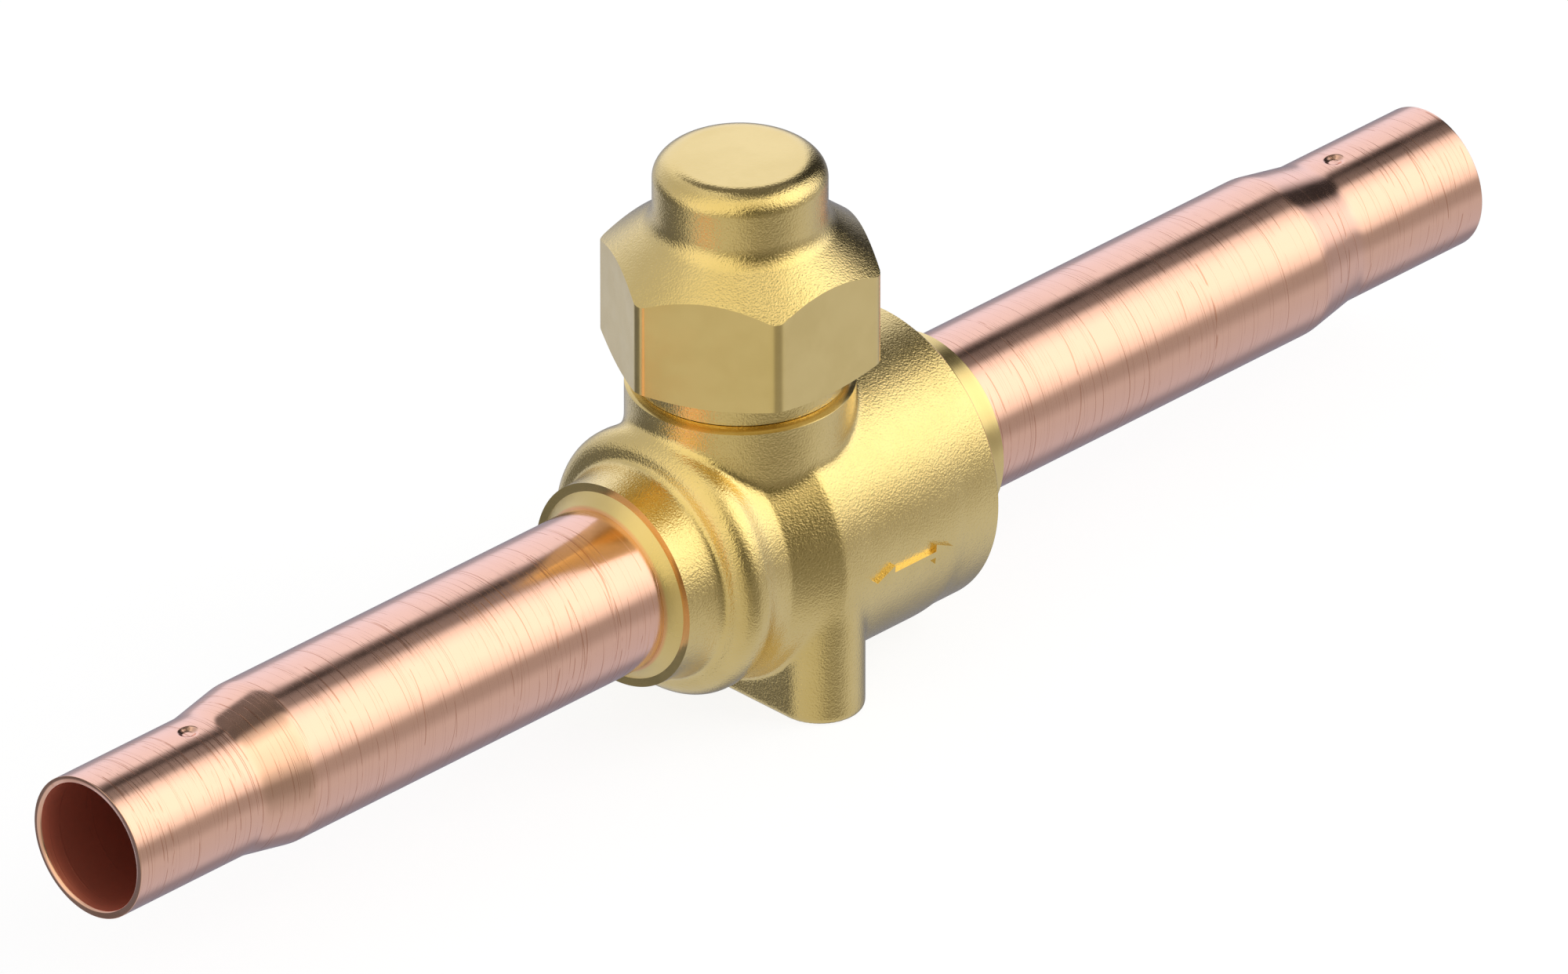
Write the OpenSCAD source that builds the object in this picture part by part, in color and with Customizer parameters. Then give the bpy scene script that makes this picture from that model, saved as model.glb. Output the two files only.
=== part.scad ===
// Straight-way shut-off ball valve with copper solder ends and a screwed hexagon seal cap.
// Flow runs along X, the stem stands along +Z, and the origin is the middle of the foot's face.

/* [Copper ends] */
// Outer diameter of the copper tubes
tube_d = 16.37; // [15.6:0.01:17.2]
// Wall of the copper tubes
tube_wall = 0.76; // [0.6:0.01:1.1]
// Outer diameter of the drawn-down solder end
solder_end_d = 14.31; // [12.5:0.01:15.2]
// Straight length of the drawn-down solder end
solder_end_len = 16.1; // [14.5:0.1:24]
// Length of the taper between the solder end and the tube
taper_len = 5.9; // [3:0.1:10]
// Length of each tube outside its neck
tube_reach_in = 69; // [50:0.5:110]
// Length of the outlet tube outside its neck
tube_reach_out = 67.6; // [50:0.5:110]
// Distance of the pipe stop dimples from the tube's mouth
stop_dist = 13.1; // [9:0.1:13.3]
// Radius of the punch that makes a stop dimple
stop_punch_r = 1; // [0.7:0.05:1.2]
// Depth of a stop dimple below the tube's surface
stop_depth = 1.1; // [0.8:0.05:1.3]
// How much the sized socket is wider in radius than the drawn bore behind it
sizing_step = 0.2; // [0.17:0.01:0.3]

/* [Ball and seats] */
// Diameter of the ball
ball_d = 22; // [21.4:0.1:23]
// Diameter of the straight flow passage
port_d = 14.8; // [12:0.1:15]
// Width of the seat's face that bears on the ball
seat_face_w = 1.55; // [1:0.05:1.8]
// Length of a seat along the flow
seat_len = 5.2; // [4.4:0.1:6.4]
// Width of a seat's flat rim outside its face
seat_rim_w = 1.05; // [0.9:0.05:1.4]
// Section diameter of the seat's backing ring
seat_ring_section = 1.4; // [1:0.1:1.6]
// Air between the ball and its chamber
chamber_gap = 0.25; // [0.15:0.05:0.6]
// Diameter of the vent between the stem slot and the passage
vent_d = 1.6; // [1:0.1:2.4]

/* [Body forging] */
// Wall of the inlet neck round the tube
neck_wall = 2.1; // [1.6:0.05:2.6]
// Depth of the tube sockets
socket_depth = 4; // [3.4:0.1:6]
// Wall between a tube socket and the seat pocket
web = 1.4; // [1:0.1:2.5]
// Wall over the inlet seat at the crest of the nose
nose_wall = 3.45; // [3:0.05:4]
// Radius of the rounded nose
nose_round = 2.4; // [2:0.05:2.8]
// Distance from the tube's shoulder to the middle of the nose
nose_set = 2.8; // [2.6:0.05:3.2]
// Wall of the narrow waist over the ball chamber
waist_wall = 1.9; // [1.5:0.05:2.2]
// Distance from the stem axis to the waist's end of the shoulder cone
shoulder_start = 6.1; // [5.8:0.05:6.8]
// Distance from the stem axis to the barrel's end of the shoulder cone
shoulder_end = 1; // [0.6:0.05:2]
// Wall of the barrel over the closure's bore
barrel_wall = 2.75; // [2.4:0.05:4]
// How far the forged belly lies below the barrel's round
belly_drop = 0.3; // [0.1:0.05:0.6]
// Length of the blend from the belly to the round barrel
belly_blend = 2.2; // [1.5:0.1:4]
// Length of the plain round barrel at its open end
round_len = 3.2; // [2:0.1:6]

/* [Bonnet] */
// How far the bonnet stands wider than the cap's skirt
bonnet_step = 0.78; // [0.5:0.02:1.4]
// Height of the bonnet's face above the barrel
bonnet_rise = 0.95; // [0.6:0.05:2]
// Height of the bevel round the bonnet's face
bonnet_bevel = 0.4; // [0.2:0.05:0.45]
// Height of the threaded spigot above the bonnet's face
spigot_h = 10.4; // [10.1:0.1:12]
// Outer diameter of the spigot's thread
thread_d = 17.9; // [17.6:0.05:18.1]
// Depth of the thread's run-out groove
runout_depth = 0.9; // [0.5:0.05:1]
// Height of the thread's run-out groove
runout_h = 1.4; // [0.8:0.1:2]
// Width of the stop recess round the stem
recess_w = 2.1; // [1.9:0.05:2.4]
// Depth of the stop recess
recess_depth = 2.9; // [2.8:0.05:3.2]

/* [Foot] */
// Distance between the two foot bosses
foot_pitch = 21.2; // [20.4:0.1:21.6]
// Diameter of a foot boss
foot_d = 8.66; // [7.6:0.02:9.2]
// How far the foot's face lies below the belly
foot_drop = 0.05; // [0.05:0.05:2]
// Bevel round the foot's face
foot_bevel = 0.4; // [0.2:0.05:0.8]
// Diameter of the tapped mounting holes before tapping
foot_hole_d = 3.3; // [2.5:0.1:3.6]
// Depth of the mounting holes
foot_hole_depth = 6; // [4:0.1:6.2]

/* [Closure] */
// Play of the closure's shank beyond the ball on each side
shank_margin = 1.35; // [1.1:0.05:1.8]
// Length of the closure behind its seat and inside the barrel
closure_grip = 7.8; // [7.2:0.1:10]
// Length of the closure's neck outside the barrel
closure_neck_len = 5.94; // [5:0.02:9]
// Wall of the closure's neck round the tube
closure_neck_wall = 1.7; // [1.4:0.05:2.3]
// How far the closure's flange stands wider than its shank
flange_step = 1; // [0.7:0.05:1.4]
// Thickness of the closure's flange
flange_t = 2.2; // [1.6:0.1:3]
// Section diameter of the closure's sealing ring
closure_ring_section = 1.3; // [1:0.1:1.6]
// Wall between the closure's sealing ring and its seat pocket
pocket_wall = 1; // [0.8:0.05:1.5]

/* [Stem] */
// Diameter of the stem
stem_d = 9; // [8.6:0.05:9.2]
// Diameter of the collar that keeps the stem in the body
collar_d = 11.8; // [11:0.1:12.4]
// Thickness of the collar
collar_t = 1.5; // [1.2:0.05:1.6]
// Thickness of the thrust washer
thrust_t = 1; // [0.8:0.05:1.1]
// Thickness of the tang that turns the ball
tang_t = 4; // [3.2:0.1:5]
// Width of the tang
tang_w = 10.6; // [9:0.1:11]
// Metal between the ball's slot and its passage
slot_floor = 1; // [0.7:0.05:1.2]
// Depth of the sealing ring grooves in the stem
groove_depth = 1.35; // [1.1:0.05:1.5]
// Thickness of the back-up ring
backup_t = 1.1; // [0.8:0.05:1.2]
// Width of the wrench square
square_w = 7; // [6.6:0.05:7.3]
// Height of the wrench square above the spigot's rim
square_reach = 5.9; // [4:0.1:8]
// Thickness of the stop washer
stop_t = 1.5; // [1.1:0.05:1.55]
// Width of the stop washer's ears
ear_w = 3; // [2.2:0.1:4]
// Thickness of the retaining clip
clip_t = 0.8; // [0.6:0.05:0.85]

/* [Seal cap] */
// Width across the flats of the hexagon
hex_af = 24; // [23:0.1:26]
// Wall of the skirt under the hexagon
skirt_wall = 1.15; // [0.9:0.05:1.5]
// Height of the skirt up to the hexagon's lower bevel
skirt_h = 1.9; // [1:0.05:2.6]
// Height of the middle of the flats' upper edge above the bonnet's face
flat_top_h = 13.95; // [12.5:0.05:15]
// Slope of the cone above the hexagon
upper_slope = 38.5; // [34:0.5:42]
// Slope of the bevel below the hexagon
lower_slope = 22; // [15:0.5:28]
// Rounding of the hexagon's upright edges
hex_round = 1; // [0.4:0.05:1.5]
// Diameter of the dome
dome_d = 16.66; // [16:0.02:17.6]
// Height of the dome's top above the bonnet's face
dome_h = 23.5; // [22:0.1:26]
// Rounding of the dome's top edge
dome_edge_r = 1.8; // [1:0.05:2.6]
// Fillet at the foot of the dome
dome_foot_r = 1.2; // [0.6:0.05:2]
// Wall of the dome
dome_wall = 1.75; // [1.4:0.05:2.1]
// Thickness of the cap gasket
gasket_t = 1.2; // [0.8:0.05:1.6]
// Air between the skirt and the bonnet's face
skirt_gap = 0.1; // [0.05:0.05:0.3]

/* [Fits] */
// Running clearance on the radius
running_fit = 0.05; // [0.03:0.01:0.08]
// Clearance on the radius between the cap and the thread's crest
thread_fit = 0.1; // [0.06:0.01:0.15]
// Clearance between pieces that are assembled by hand
hand_fit = 0.02; // [0.01:0.01:0.03]

/* [Hidden] */

// Facets of round shapes and of small rounded corners
round_fn = 96;
small_fn = 48;
corner_steps = 6;
// Overlap that lets a cut run clear of a face
cut = 1;

// Radii of the flow line
tube_r = tube_d / 2;
solder_end_r = solder_end_d / 2;
port_r = port_d / 2;
ball_r = ball_d / 2;
seat_bore_r = port_r + 0.2;
seat_face_r = port_r + seat_face_w;
seat_r = seat_face_r + seat_rim_w;
seat_pocket_r = seat_r + running_fit;
chamber_r = ball_r + chamber_gap;
// The shank lets the ball in and has room for its own seat pocket and sealing ring
shank_r = max(ball_r + shank_margin, seat_pocket_r + pocket_wall + closure_ring_section);
closure_bore_r = shank_r + running_fit;
flange_r = shank_r + flange_step;
socket_r = tube_r + running_fit;

// Stations along the flow, measured from the stem axis
seat_front = sqrt(ball_r * ball_r - seat_face_r * seat_face_r);
seat_back = seat_front + seat_len;
pocket_mouth = seat_front - 0.9;
inlet_shoulder = seat_back + web;
inlet_neck_end = inlet_shoulder + socket_depth;
barrel_end = seat_back + closure_grip + 0.26;
closure_face = seat_back + closure_grip;
closure_neck_end = barrel_end + closure_neck_len;
outlet_shoulder = closure_neck_end - socket_depth;

// Outside of the body forging
neck_r = tube_r + neck_wall;
nose_r = seat_pocket_r + nose_wall;
waist_r = chamber_r + waist_wall;
barrel_r = closure_bore_r + barrel_wall;
axis_height = barrel_r + belly_drop + foot_drop;
nose_x = inlet_shoulder - nose_set;
bonnet_face = axis_height + barrel_r + bonnet_rise;
spigot_rim = bonnet_face + spigot_h;
spigot_r = thread_d / 2;
cap_bore_r = spigot_r + thread_fit;
skirt_r = cap_bore_r + skirt_wall;
bonnet_r = skirt_r + bonnet_step;

// Heights of the stem's parts
stem_r = stem_d / 2;
stem_bore_r = stem_r + running_fit;
collar_r = collar_d / 2;
slot_base = axis_height + port_r + slot_floor;
tang_base = slot_base + 0.1;
// The collar lies above the closure's bore, so the closure can be screwed in below it
collar_base = axis_height + closure_bore_r + 0.1;
collar_top = collar_base + collar_t;
pocket_top = collar_top + thrust_t;
recess_floor = spigot_rim - recess_depth;
ring_section = groove_depth + running_fit - 2 * hand_fit;
groove_w = groove_depth + 0.5;
upper_groove_w = groove_w + backup_t;
groove_land = 1.4;
seal_stack = groove_w + groove_land + upper_groove_w;
lower_groove = (pocket_top + recess_floor - seal_stack) / 2;
upper_groove = lower_groove + groove_w + groove_land;
stop_seat = recess_floor + 0.35;
clip_seat = stop_seat + stop_t + 0.05;
stem_top = spigot_rim + square_reach;
recess_r = stem_r + recess_w;
ear_r = recess_r - 0.15;
hub_r = recess_r - 1.2;
clip_groove_r = stem_r - 0.6;
clip_r = hub_r - 0.1;

// Heights of the seal cap
cap_base = bonnet_face + skirt_gap;
gasket_top = spigot_rim + gasket_t;
flat_top = bonnet_face + flat_top_h;
lower_bevel = bonnet_face + skirt_h;
dome_r = dome_d / 2;
dome_top = bonnet_face + dome_h;
dome_foot = flat_top + (hex_af / 2 - dome_r) * tan(upper_slope);
cavity_r = dome_r - dome_wall;
cavity_top = dome_top - dome_wall - 0.5;
hex_corner_r = hex_af / sqrt(3);

// Points of an arc about a centre, from one angle to another
function arc(x, y, r, from, to, steps = corner_steps) =
    [for (i = [0:steps]) let (a = from + (to - from) * i / steps) [x + r * cos(a), y + r * sin(a)]];

// Turns a [radius, station] outline about the flow axis
module turned_on_flow(outline) {
    translate([0, 0, axis_height]) rotate([0, 90, 0])
        rotate_extrude($fn = round_fn) polygon(outline);
}

// Turns a [radius, height] outline about the stem axis
module turned_on_stem(outline) {
    rotate_extrude($fn = round_fn) polygon(outline);
}

// A round bar or bore along the flow axis
module flow_cylinder(r, from, to) {
    translate([from, 0, axis_height]) rotate([0, 90, 0])
        cylinder(r = r, h = to - from, $fn = round_fn);
}

// A round bar or bore along the stem axis
module stem_cylinder(r, from, to) {
    translate([0, 0, from]) cylinder(r = r, h = to - from, $fn = round_fn);
}

// Repeats a shape on both foot bosses
module on_foot_bosses() {
    for (side = [-1, 1]) translate([0, side * foot_pitch / 2, 0]) children();
}

// A ring of round section about the flow axis
module flow_ring(centre_r, section, at) {
    translate([at, 0, axis_height]) rotate([0, 90, 0])
        rotate_extrude($fn = round_fn) translate([centre_r, 0]) circle(d = section, $fn = small_fn);
}

// A ring of round section about the stem axis
module stem_ring(centre_r, section, at) {
    translate([0, 0, at])
        rotate_extrude($fn = round_fn) translate([centre_r, 0]) circle(d = section, $fn = small_fn);
}

// Outside of the neck, nose, waist, shoulder cone and barrel
module barrel_outside() {
    nose_centre_r = nose_r - nose_round;
    neck_foot = nose_x + nose_round * 1.35;
    valley = nose_x - nose_round * 0.85;
    turned_on_flow(concat(
        [[0, -inlet_neck_end], [neck_r, -inlet_neck_end], [neck_r + 0.15, -neck_foot],
         [neck_r + 0.5, -nose_x - nose_round * 1.02]],
        arc(nose_centre_r, -nose_x, nose_round, -80, 40, 10),
        [[waist_r, -valley], [waist_r, -shoulder_start], [barrel_r, -shoulder_end],
         [barrel_r, barrel_end - 0.3], [barrel_r - 0.3, barrel_end], [0, barrel_end]]));
}

// Belly of the forging, a shade lower than the barrel and blended into it before the open end
module belly_outside() {
    blend_end = barrel_end - round_len;
    translate([0, 0, -belly_drop]) turned_on_flow([
        [0, -shoulder_start], [waist_r - belly_drop, -shoulder_start], [barrel_r, -shoulder_end],
        [barrel_r, blend_end - belly_blend], [barrel_r - 2 * belly_drop, blend_end], [0, blend_end]]);
}

// Bonnet with its bevelled face and threaded spigot
module bonnet_outside() {
    bevel_base = bonnet_face - bonnet_bevel;
    runout_r = spigot_r - runout_depth;
    turned_on_stem([
        [0, axis_height], [bonnet_r, axis_height], [bonnet_r, bevel_base], [skirt_r, bonnet_face],
        [runout_r, bonnet_face], [runout_r, bonnet_face + runout_h],
        [spigot_r, bonnet_face + runout_h + runout_depth], [spigot_r, spigot_rim - 0.5],
        [spigot_r - 0.5, spigot_rim], [0, spigot_rim]]);
}

// Foot with two round bosses and the flat web that joins them
module foot_outside() {
    foot_r = foot_d / 2;
    web_half = foot_r - 0.02;
    on_foot_bosses() {
        cylinder(r1 = foot_r - foot_bevel, r2 = foot_r, h = foot_bevel, $fn = round_fn);
        translate([0, 0, foot_bevel]) cylinder(r = foot_r, h = axis_height - foot_bevel, $fn = round_fn);
    }
    translate([0, foot_pitch / 2, 0]) rotate([90, 0, 0]) linear_extrude(foot_pitch)
        polygon([[-web_half + foot_bevel, 0], [web_half - foot_bevel, 0], [web_half, foot_bevel],
                 [web_half, axis_height], [-web_half, axis_height], [-web_half, foot_bevel]]);
}

// Flow passage, seat pocket, ball chamber and the closure's bore
module body_bores() {
    flow_cylinder(socket_r, -inlet_neck_end - cut, -inlet_shoulder);
    flow_cylinder(port_r, -inlet_shoulder - cut, 0);
    flow_cylinder(seat_pocket_r, -seat_back, 0);
    flow_cylinder(chamber_r, -pocket_mouth, pocket_mouth);
    flow_cylinder(closure_bore_r, pocket_mouth - 0.5, barrel_end + cut);
    flow_cylinder(flange_r + running_fit, closure_face - flange_t, barrel_end + cut);
    stem_cylinder(collar_r + 0.1, axis_height, pocket_top);
    stem_cylinder(stem_bore_r, axis_height, spigot_rim + cut);
    stem_cylinder(recess_r, recess_floor, spigot_rim + cut);
    on_foot_bosses() translate([0, 0, -cut])
        cylinder(d = foot_hole_d, h = foot_hole_depth + cut, $fn = small_fn);
}

// Two posts in the rim's recess that the stop washer's ears strike
module stop_posts() {
    post_h = recess_depth - 0.4;
    offset_in = ear_w / 2 + 0.03;
    for (turn = [0, 180]) rotate([0, 0, turn]) translate([0, 0, recess_floor - 0.2])
        intersection() {
            difference() {
                cylinder(r = recess_r + 0.2, h = post_h, $fn = round_fn);
                translate([0, 0, -cut]) cylinder(r = hub_r + 0.1, h = post_h + 2 * cut, $fn = round_fn);
            }
            translate([offset_in, offset_in, -cut]) cube([2 * recess_r, 2 * recess_r, post_h + 2 * cut]);
        }
}

module valve_body() {
    color("#c9a84a") {
        difference() {
            union() {
                barrel_outside();
                belly_outside();
                bonnet_outside();
                foot_outside();
            }
            body_bores();
        }
        stop_posts();
    }
}

// Turned end piece that closes the barrel, holds the outlet seat and takes the outlet tube
module body_closure() {
    neck_outer_r = tube_r + closure_neck_wall;
    groove_at = pocket_mouth + 1.6;
    groove_end = groove_at + closure_ring_section + 0.3;
    groove_r = shank_r - closure_ring_section;
    color("#c4a447") difference() {
        turned_on_flow([
            [port_r, pocket_mouth], [shank_r - 0.4, pocket_mouth], [shank_r, pocket_mouth + 0.4],
            [shank_r, groove_at], [groove_r, groove_at], [groove_r, groove_end],
            [shank_r, groove_end], [shank_r, closure_face - flange_t],
            [flange_r, closure_face - flange_t], [flange_r, closure_face - 0.3],
            [flange_r - 0.3, closure_face], [neck_outer_r + 0.8, closure_face],
            [neck_outer_r, closure_face + 0.8], [neck_outer_r - 0.1, closure_neck_end],
            [port_r, closure_neck_end]]);
        flow_cylinder(seat_pocket_r, pocket_mouth - cut, seat_back);
        flow_cylinder(socket_r, outlet_shoulder, closure_neck_end + cut);
    }
}

module closure_o_ring() {
    section = closure_ring_section;
    color("#262626")
        flow_ring(shank_r + running_fit - hand_fit - section / 2, section - hand_fit,
                  pocket_mouth + 1.6 + (section + 0.3) / 2);
}

// Solder-end tube that runs from its shoulder in the body to its drawn-down mouth
module solder_tube(shoulder, mouth) {
    bore_r = tube_r - tube_wall;
    mouth_bore_r = solder_end_r - tube_wall;
    end_start = mouth - solder_end_len;
    taper_start = end_start - taper_len;
    punch_r = solder_end_r - stop_depth + stop_punch_r;
    bump_r = stop_punch_r + tube_wall * 0.7;
    sized_to = mouth - stop_dist + bump_r;
    drawn_bore_r = mouth_bore_r - sizing_step;
    ease = taper_len / 6;
    ease_r = (tube_r - solder_end_r) / 16;
    difference() {
        union() {
            turned_on_flow([
                [bore_r, shoulder], [tube_r, shoulder], [tube_r, taper_start],
                [tube_r - ease_r, taper_start + ease], [solder_end_r + ease_r, end_start - ease],
                [solder_end_r, end_start], [solder_end_r, mouth - 0.15], [solder_end_r - 0.15, mouth],
                [mouth_bore_r + 0.15, mouth], [mouth_bore_r, mouth - 0.15], [mouth_bore_r, sized_to],
                [drawn_bore_r, sized_to - sizing_step], [drawn_bore_r, end_start],
                [drawn_bore_r + ease_r, end_start - ease], [bore_r - ease_r, taper_start + ease],
                [bore_r, taper_start]]);
            intersection() {
                flow_cylinder(solder_end_r - tube_wall / 2, end_start, mouth);
                for (side = [-1, 1]) translate([mouth - stop_dist, 0, axis_height + side * punch_r])
                    sphere(r = bump_r, $fn = small_fn);
            }
        }
        for (side = [-1, 1]) translate([mouth - stop_dist, 0, axis_height + side * punch_r])
            sphere(r = stop_punch_r, $fn = small_fn);
    }
}

module outlet_tube() {
    color("#e0a387") solder_tube(outlet_shoulder, closure_neck_end + tube_reach_out);
}

module inlet_tube() {
    color("#e0a387") mirror([1, 0, 0]) solder_tube(inlet_shoulder, inlet_neck_end + tube_reach_in);
}

// Brazing fillet between a neck's face and the tube
module braze_fillet(neck_end, leg) {
    turned_on_flow([[tube_r, neck_end], [tube_r + leg, neck_end], [tube_r, neck_end + leg]]);
}

module inlet_braze() {
    color("#c2a551") mirror([1, 0, 0]) braze_fillet(inlet_neck_end, neck_wall * 0.6);
}

module outlet_braze() {
    color("#c2a551") braze_fillet(closure_neck_end, closure_neck_wall * 0.6);
}

module ball() {
    slot_w = tang_t + 2 * 0.06;
    color("#d8dadc") difference() {
        translate([0, 0, axis_height]) sphere(r = ball_r, $fn = round_fn);
        flow_cylinder(port_r, -ball_r - cut, ball_r + cut);
        translate([-slot_w / 2, -ball_r, slot_base]) cube([slot_w, ball_d, ball_r]);
        stem_cylinder(vent_d / 2, axis_height, slot_base + cut);
    }
}

// Seat ring with a spherical face and a rebate at its back for the backing ring
module seat() {
    rebate_r = seat_r - seat_ring_section;
    rebate_at = seat_back - seat_ring_section - 0.05;
    difference() {
        turned_on_flow([
            [seat_bore_r, seat_front], [seat_r, seat_front], [seat_r, rebate_at],
            [rebate_r, rebate_at], [rebate_r, seat_back - hand_fit], [seat_bore_r, seat_back - hand_fit]]);
        translate([0, 0, axis_height]) sphere(r = ball_r + hand_fit, $fn = round_fn);
    }
}

module outlet_seat() {
    color("#f2f1ec") seat();
}

module inlet_seat() {
    color("#f2f1ec") mirror([1, 0, 0]) seat();
}

module seat_o_ring(side) {
    section = seat_ring_section - 2 * hand_fit;
    flow_ring(seat_pocket_r - hand_fit - section / 2, section,
              side * (seat_back - hand_fit - section / 2));
}

module outlet_seat_o_ring() {
    color("#262626") seat_o_ring(1);
}

module inlet_seat_o_ring() {
    color("#262626") seat_o_ring(-1);
}

// Stem with its tang, collar, ring grooves, wrench square and clip groove
module stem() {
    groove_r = stem_r - groove_depth;
    color("#b9bcbf") difference() {
        union() {
            translate([0, 0, tang_base]) intersection() {
                cylinder(d = tang_w, h = collar_base - tang_base + 0.5, $fn = round_fn);
                translate([-tang_t / 2, -tang_w, 0]) cube([tang_t, 2 * tang_w, ball_r]);
            }
            turned_on_stem([
                [0, collar_base], [collar_r - 0.3, collar_base], [collar_r, collar_base + 0.3],
                [collar_r, collar_top], [stem_r, collar_top], [stem_r, lower_groove],
                [groove_r, lower_groove], [groove_r, lower_groove + groove_w],
                [stem_r, lower_groove + groove_w], [stem_r, upper_groove], [groove_r, upper_groove],
                [groove_r, upper_groove + upper_groove_w], [stem_r, upper_groove + upper_groove_w],
                [stem_r, clip_seat], [clip_groove_r, clip_seat],
                [clip_groove_r, clip_seat + clip_t + 0.05], [stem_r, clip_seat + clip_t + 0.05],
                [stem_r, stem_top - 0.5], [stem_r - 0.5, stem_top], [0, stem_top]]);
        }
        translate([0, 0, stop_seat]) difference() {
            translate([-stem_d, -stem_d, 0]) cube([2 * stem_d, 2 * stem_d, stem_top]);
            translate([-square_w / 2, -square_w / 2, -cut]) cube([square_w, square_w, stem_top + 2 * cut]);
        }
        translate([-stem_d, -0.5, stem_top - 0.8]) cube([2 * stem_d, 1, 2]);
    }
}

module stem_thrust_washer() {
    color("#efeee8") difference() {
        stem_cylinder(collar_r, collar_top, pocket_top);
        stem_cylinder(stem_bore_r, collar_top - cut, pocket_top + cut);
    }
}

module stem_seal_ring(groove_base) {
    stem_ring(stem_bore_r - hand_fit - ring_section / 2, ring_section, groove_base + groove_w / 2);
}

module stem_o_ring_lower() {
    color("#262626") stem_seal_ring(lower_groove);
}

module stem_o_ring_upper() {
    color("#262626") stem_seal_ring(upper_groove);
}

module stem_backup_ring() {
    base = upper_groove + groove_w;
    color("#efeee8") difference() {
        stem_cylinder(stem_r, base, base + backup_t - hand_fit);
        stem_cylinder(stem_r - groove_depth + hand_fit, base - cut, base + backup_t + cut);
    }
}

// Washer on the wrench square whose two ears meet the posts after a quarter turn
module stop_washer() {
    hole = square_w / 2 + hand_fit;
    color("#c8cacc") translate([0, 0, stop_seat]) difference() {
        union() {
            cylinder(r = hub_r, h = stop_t, $fn = round_fn);
            intersection() {
                cylinder(r = ear_r, h = stop_t, $fn = round_fn);
                translate([-ear_r, -ear_w / 2, 0]) cube([2 * ear_r, ear_w, stop_t]);
            }
        }
        translate([0, 0, -cut]) intersection() {
            cylinder(r = stem_r + hand_fit, h = stop_t + 2 * cut, $fn = round_fn);
            translate([-hole, -hole, 0]) cube([2 * hole, 2 * hole, stop_t + 2 * cut]);
        }
    }
}

// Open retaining ring in the groove at the corners of the wrench square
module stem_clip() {
    gap_w = 2.4;
    color("#3b3d40") translate([0, 0, clip_seat + hand_fit]) difference() {
        cylinder(r = clip_r, h = clip_t, $fn = round_fn);
        translate([0, 0, -cut]) cylinder(r = clip_groove_r + hand_fit, h = clip_t + 2 * cut, $fn = round_fn);
        translate([0, -gap_w / 2, -cut]) cube([clip_r + cut, gap_w, clip_t + 2 * cut]);
    }
}

module cap_gasket() {
    color("#e9e4d4") difference() {
        stem_cylinder(spigot_r - 0.1, spigot_rim, gasket_top);
        stem_cylinder(recess_r + 0.3, spigot_rim - cut, gasket_top + cut);
    }
}

// Outline of the cap without its flats: skirt, lower bevel, cone and dome
module cap_outside() {
    rim_r = hex_corner_r + 1;
    rim_low = lower_bevel + (rim_r - skirt_r) * tan(lower_slope);
    rim_high = flat_top - (rim_r - hex_af / 2) * tan(upper_slope);
    fillet_run = dome_foot_r * tan((90 - upper_slope) / 2);
    fillet_x = dome_r + dome_foot_r;
    fillet_z = dome_foot + fillet_run;
    turned_on_stem(concat(
        [[0, cap_base], [skirt_r, cap_base], [skirt_r, lower_bevel], [rim_r, rim_low], [rim_r, rim_high]],
        arc(fillet_x, fillet_z, dome_foot_r, 270 - upper_slope, 180),
        arc(dome_r - dome_edge_r, dome_top - dome_edge_r, dome_edge_r, 0, 90),
        [[0, dome_top]]));
}

// Hexagonal bar with rounded upright edges that trims the cap's outside to its flats
module hexagon_bar() {
    inner_corner = hex_corner_r - hex_round * 2 / sqrt(3);
    linear_extrude(dome_top + cut) hull()
        for (i = [0:5]) rotate(60 * i) translate([inner_corner, 0]) circle(r = hex_round, $fn = small_fn);
}

module seal_cap() {
    drill_depth = cavity_r * 0.3;
    color("#c9ab52") difference() {
        intersection() {
            cap_outside();
            hexagon_bar();
        }
        turned_on_stem([
            [0, cap_base - cut], [cap_bore_r + 0.5 + cut, cap_base - cut], [cap_bore_r, cap_base + 0.5],
            [cap_bore_r, gasket_top], [cavity_r, gasket_top], [cavity_r, cavity_top - drill_depth],
            [0, cavity_top]]);
    }
}

valve_body();
body_closure();
closure_o_ring();
inlet_tube();
outlet_tube();
inlet_braze();
outlet_braze();
ball();
inlet_seat();
outlet_seat();
inlet_seat_o_ring();
outlet_seat_o_ring();
stem();
stem_thrust_washer();
stem_o_ring_lower();
stem_o_ring_upper();
stem_backup_ring();
stop_washer();
stem_clip();
cap_gasket();
seal_cap();
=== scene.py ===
# %% [markdown]
# # A shut-off ball valve, dressed for its photograph
#
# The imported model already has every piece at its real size. This lesson gives each piece the surface
# that the real one has: a hot-forged and blasted brass body, drawn copper tubes, a forged and milled
# cap, and the small parts inside. Each step first says what the piece is on the real valve, then how
# it could be made and why this way was taken.

# %% Load the fixed frame
import math

import bmesh
import bpy
from mathutils import Matrix, Vector


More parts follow.
